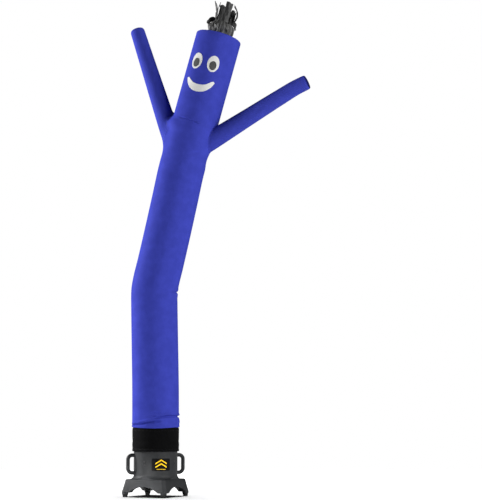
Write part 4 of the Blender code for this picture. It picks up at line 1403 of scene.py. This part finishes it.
def moulded(piece, material, nodes=(), smooth=32):
    """Finish a hard piece: smooth its shading, give it its material, hang it on the root and hide the imported nodes
    that it stands for.
    """
    only(piece)
    bpy.ops.object.shade_smooth_by_angle(angle=math.radians(smooth))
    piece.data.materials.clear()
    piece.data.materials.append(bpy.data.materials[material])
    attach(piece, "root")
    if nodes:
        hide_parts(*nodes)
    print(piece.name, "faces:", len(piece.data.polygons))


# %% [markdown]
# ## The housing: base
#
# One moulding makes the whole blower housing. It is built here from its parts and joined: first the
# square base, as a cube whose walls lean in and whose corners are cut off, with a broad arch through
# each side so that the fan can draw air.

# %% The base
BASE_LOW, BASE_HIGH = 0.033, 0.109
BASE_HALF = 0.1655
BASE_LEAN = 0.149 / 0.1655
BASE_CORNER = 0.019
ARCH_RADIUS = 0.185
ARCH_TOP = 0.067


def pick(piece, wanted):
    """Select the faces for which wanted(face centre, face normal) is true."""
    bpy.ops.mesh.select_all(action="DESELECT")
    shape = bmesh.from_edit_mesh(piece.data)
    for face in shape.faces:
        if wanted(face.calc_center_median(), face.normal):
            face.select_set(True)
    bmesh.update_edit_mesh(piece.data)


bpy.ops.object.select_all(action="DESELECT")
middle = (BLOWER_AXIS[0], BLOWER_AXIS[1], (BASE_LOW + BASE_HIGH) / 2)
bpy.ops.mesh.primitive_cube_add(size=1, location=middle)
base = bpy.context.object
base.name = "housing_shell"
base.scale = (2 * BASE_HALF, 2 * BASE_HALF, BASE_HIGH - BASE_LOW)
bpy.ops.object.transform_apply()
bpy.ops.object.mode_set(mode="EDIT")
bpy.ops.mesh.select_mode(type="EDGE")
bpy.ops.mesh.select_all(action="DESELECT")
shape = bmesh.from_edit_mesh(base.data)
for edge in shape.edges:
    if abs(edge.verts[0].co.z - edge.verts[1].co.z) > 0.01:
        edge.select_set(True)
bmesh.update_edit_mesh(base.data)
bpy.ops.mesh.bevel(offset=BASE_CORNER, segments=1, affect="EDGES")
bpy.ops.mesh.select_mode(type="FACE")
pick(base, lambda centre, normal: normal.z > 0.9)
bpy.ops.transform.resize(value=(BASE_LEAN, BASE_LEAN, 1), center_override=(middle[0], middle[1], BASE_HIGH))
bpy.ops.mesh.extrude_region_move(TRANSFORM_OT_translate={"value": (0, 0, 0.005)})
bpy.ops.transform.resize(value=(0.973, 0.973, 1), center_override=(middle[0], middle[1], BASE_HIGH))
pick(base, lambda centre, normal: normal.z < -0.9)
bpy.ops.mesh.extrude_region_move(TRANSFORM_OT_translate={"value": (0, 0, -0.004)})
bpy.ops.transform.resize(value=(0.976, 0.976, 1), center_override=(middle[0], middle[1], BASE_LOW))
close_up()
turn_about_axis(base, 45 + BLOWER_TURN)
round_edges(base, 0.0022, 20)

for degrees in (45, 135):
    spot = (BLOWER_AXIS[0], BLOWER_AXIS[1], ARCH_TOP - ARCH_RADIUS)
    bpy.ops.object.select_all(action="DESELECT")
    bpy.ops.mesh.primitive_cylinder_add(vertices=160, radius=ARCH_RADIUS, depth=0.6, location=spot)
    arch = bpy.context.object
    arch.rotation_euler = (0, math.radians(90), math.radians(degrees + BLOWER_TURN))
    bpy.ops.object.transform_apply()
    combine(base, arch, "DIFFERENCE")
print("base faces:", len(base.data.polygons))

# %% [markdown]
# ## The housing: duct
#
# The round duct grows out of the base through a hollow flare, which stops in a crease where it meets
# the edges of the base's top. Two beads run round the duct to hold the cloth, and its rim is rounded.

# %% The flare and the duct
RIM_TOP = 0.375
FLARE = [(DUCT_RADIUS + 0.027 * (1 - math.sin(t)), 0.113 + 0.031 * (1 - math.cos(t)))
         for t in np.radians(np.linspace(0, 90, 11))]
DUCT = [(FLARE[0][0], 0.100)] + FLARE + [(DUCT_RADIUS, 0.3095)]
for low in (0.3100, 0.3530):
    for t in np.radians(np.linspace(0, 180, 9)):
        DUCT.append((DUCT_RADIUS + 0.0055 * math.sin(t) ** 0.7, low + 0.0035 * (1 - math.cos(t))))
DUCT += [(DUCT_RADIUS, 0.3715), (DUCT_RADIUS - 0.0004, RIM_TOP - 0.0012), (DUCT_RADIUS - 0.0016, RIM_TOP)]
CAVITY = [(0.1560, 0.0), (0.1480, 0.085), (0.1400, 0.1060), (0.1380, 0.1140), (0.1380, RIM_TOP + 0.02)]


def block(sides, middle, degrees=0.0):
    """A box over the blower's axis, turned about it."""
    bpy.ops.object.select_all(action="DESELECT")
    bpy.ops.mesh.primitive_cube_add(size=1, location=(BLOWER_AXIS[0], BLOWER_AXIS[1], middle))
    box = bpy.context.object
    box.scale = sides
    bpy.ops.object.transform_apply()
    turn_about_axis(box, degrees)
    return box


duct = turned("duct", DUCT)
frame_block = block((0.5, 0.5, 0.12), 0.145, 45 + BLOWER_TURN)
combine(frame_block, block((0.288, 0.288, 0.20), 0.145, 45 + BLOWER_TURN), "DIFFERENCE")
combine(duct, frame_block, "DIFFERENCE")
combine(base, duct, "UNION")
combine(base, turned("cavity", CAVITY), "DIFFERENCE")
print("with the duct:", len(base.data.polygons))

# %% [markdown]
# ## The housing: handles, bosses and hollow
#
# Two handles stand over opposite corners. A handle is a circle that is pushed out, spun round a bend,
# pushed down, spun again and pushed back. Cup-shaped bosses under the corners hold the feet. Last, the
# inside is cut out, and two notches are cut across the rim.

# %% Handles, bosses, hollow and notches
HANDLE_BAR = 0.012
HANDLE_REACH = 0.1845
HANDLE_LOW, HANDLE_HIGH = 0.154, 0.267
HANDLE_BEND = 0.027
HANDLE_START = 0.1395
FOOT_REACH = 0.202
BOSS_ROWS = ((0.0188, 0.0193), (0.0198, 0.0193), (0.0204, 0.0202), (0.0215, 0.0205), (0.0270, 0.0214),
             (0.0340, 0.0209), (0.0420, 0.0190), (0.0500, 0.0160), (0.0540, 0.0120))


def corner(number):
    """The level direction to one corner of the base: front, right, back, left."""
    turn = math.radians(-90 + BLOWER_TURN + 90 * number)
    return np.array((math.cos(turn), math.sin(turn)))


def make_handle(name):
    """A bent bar that starts and ends inside the duct's wall, over the right-hand corner."""
    bend = HANDLE_REACH - HANDLE_BEND
    axis_x, axis_y = BLOWER_AXIS[0], BLOWER_AXIS[1]
    bpy.ops.object.select_all(action="DESELECT")
    spot = (axis_x + HANDLE_START, axis_y, HANDLE_HIGH)
    level = (0, math.pi / 2, 0)
    bpy.ops.mesh.primitive_circle_add(vertices=28, radius=HANDLE_BAR, location=spot, rotation=level)
    bar = bpy.context.object
    bar.name = name
    bpy.ops.object.transform_apply()
    bpy.ops.object.mode_set(mode="EDIT")
    bpy.ops.mesh.select_mode(type="VERT")
    bpy.ops.mesh.select_all(action="SELECT")
    bpy.ops.mesh.extrude_region_move(TRANSFORM_OT_translate={"value": (bend - HANDLE_START, 0, 0)})
    drop = HANDLE_HIGH - HANDLE_LOW - 2 * HANDLE_BEND
    for height, push in ((HANDLE_HIGH - HANDLE_BEND, (0, 0, -drop)), (HANDLE_LOW + HANDLE_BEND, None)):
        place = (axis_x + bend, axis_y, height)
        bpy.ops.mesh.spin(steps=9, angle=-math.pi / 2, center=place, axis=(0, 1, 0))
        if push:
            bpy.ops.mesh.extrude_region_move(TRANSFORM_OT_translate={"value": push})
    bpy.ops.mesh.extrude_region_move(TRANSFORM_OT_translate={"value": (HANDLE_START - bend, 0, 0)})
    bpy.ops.mesh.select_all(action="SELECT")
    bpy.ops.mesh.fill_holes(sides=0)
    bpy.ops.mesh.remove_doubles(threshold=0.00001)
    close_up()
    return bar


for degrees in (BLOWER_TURN, BLOWER_TURN + 180):
    bar = make_handle("handle")
    turn_about_axis(bar, degrees)
    combine(base, bar, "UNION")
for number in range(4):
    rows = [(radius, height) for height, radius in BOSS_ROWS]
    combine(base, turned("boss", rows, 48, corner(number) * FOOT_REACH), "UNION")
for degrees in (0, 90):
    notch = block((0.4, 0.015, 0.020), RIM_TOP, BLOWER_TURN + degrees)
    round_edges(notch, 0.003)
    combine(base, notch, "DIFFERENCE")
moulded(base, "charcoal_plastic", ["blower_housing"])

# %% [markdown]
# ## Feet, screws and label
#
# The feet are tapered rubber stops with a soft lower edge. The screws have low domed heads with a
# cross in them; one is made and then copied to eight places. The label is a bare black plate on the
# duct with plain yellow arrowheads that show where the air goes.

# %% Feet
RUBBER_ROWS = ((0.0124, 0.0), (0.0134, 0.0003), (0.0141, 0.0012), (0.0152, 0.0055), (0.0166, 0.0105),
             (0.0180, 0.0155), (0.0186, 0.0178), (0.0184, 0.0186))
for number, place in enumerate(("front", "right", "back", "left")):
    foot_piece = turned(f"foot_{place}_rubber", RUBBER_ROWS, 48, corner(number) * FOOT_REACH)
    moulded(foot_piece, "black_rubber", [f"foot_{place}"])

# %% Screws
SCREW_ROWS = ((0.0040, 0.0), (0.0040, 0.0008), (0.0037, 0.0015), (0.0029, 0.0020), (0.0016, 0.0024))
SCREW_HEIGHTS = (0.206, 0.227)
first = turned("screw", SCREW_ROWS, 28)
for sides in ((0.0046, 0.0010), (0.0010, 0.0046)):
    combine(first, block((*sides, 0.0018), 0.0023), "DIFFERENCE")
for pair, place in enumerate(("front_right", "back_right", "back_left", "front_left")):
    for height, level in zip(SCREW_HEIGHTS, ("low", "high")):
        screw = first.copy()
        screw.data = first.data.copy()
        screw.name = f"screw_{place}_{level}_head"
        bpy.context.scene.collection.objects.link(screw)
        tilt = Matrix.Rotation(math.radians(11 * pair + 25 * (level == "low")), 4, "Z")
        out = Matrix.Translation((DUCT_RADIUS + 0.0001, 0, height)) @ Matrix.Rotation(math.pi / 2, 4, "Y") @ tilt
        screw.data.transform(Matrix.Translation(Vector(-BLOWER_AXIS)))
        screw.data.transform(Matrix.Translation(Vector(BLOWER_AXIS)) @ out)
        turn_about_axis(screw, -45 + BLOWER_TURN + 90 * pair)
        moulded(screw, "black_steel", [f"screw_{place}_{level}"])
bpy.data.objects.remove(first, do_unlink=True)

# %% Label
LABEL = (0.122, 0.078)
LABEL_MIDDLE = 0.209
MARKS = (
    # width, height of the band, rise to the middle, place over the label's middle
    (0.074, 0.0085, 0.022, 0.018),
    (0.074, 0.0085, 0.022, -0.005),
    (0.060, 0.0030, 0.000, -0.029),
)


def bent_plate(name, width, height, rise, middle, above, thick, corner_cut):
    """A thin plate on the duct: a plane that is subdivided, shaped flat and then bent round."""
    bpy.ops.object.select_all(action="DESELECT")
    bpy.ops.mesh.primitive_plane_add(size=1)
    plate = bpy.context.object
    plate.name = name
    bpy.ops.object.mode_set(mode="EDIT")
    bpy.ops.mesh.subdivide(number_cuts=31)
    bpy.ops.object.mode_set(mode="OBJECT")
    for vertex in plate.data.vertices:
        across, up = vertex.co.x * width, vertex.co.y * height
        past = Vector((abs(across) - width / 2 + corner_cut, abs(up) - height / 2 + corner_cut))
        if past.x > 0 and past.y > 0 and past.length > 0:
            reach = max(past.x, past.y)
            past = past.normalized() * reach
            across = math.copysign(width / 2 - corner_cut + past.x, across)
            up = math.copysign(height / 2 - corner_cut + past.y, up)
        up = up + rise * (1 - 2 * abs(across) / width) - rise / 2
        turn = math.radians(-90 + BLOWER_TURN) + across / DUCT_RADIUS
        reach = DUCT_RADIUS + above
        place = Vector((reach * math.cos(turn), reach * math.sin(turn), LABEL_MIDDLE + middle + up))
        vertex.co = place + Vector(BLOWER_AXIS)
    thicken(plate, thick, 1)
    return plate


plate = bent_plate("label_plate", *LABEL, 0.0, 0.0, 0.0003, 0.0010, 0.006)
moulded(plate, "black_film", ["label"])
for number, (width, height, rise, middle) in enumerate(MARKS):
    mark = bent_plate(f"label_mark_{number}", width, height, rise, middle, 0.0013, 0.00015, 0.0006)
    moulded(mark, "yellow_ink")
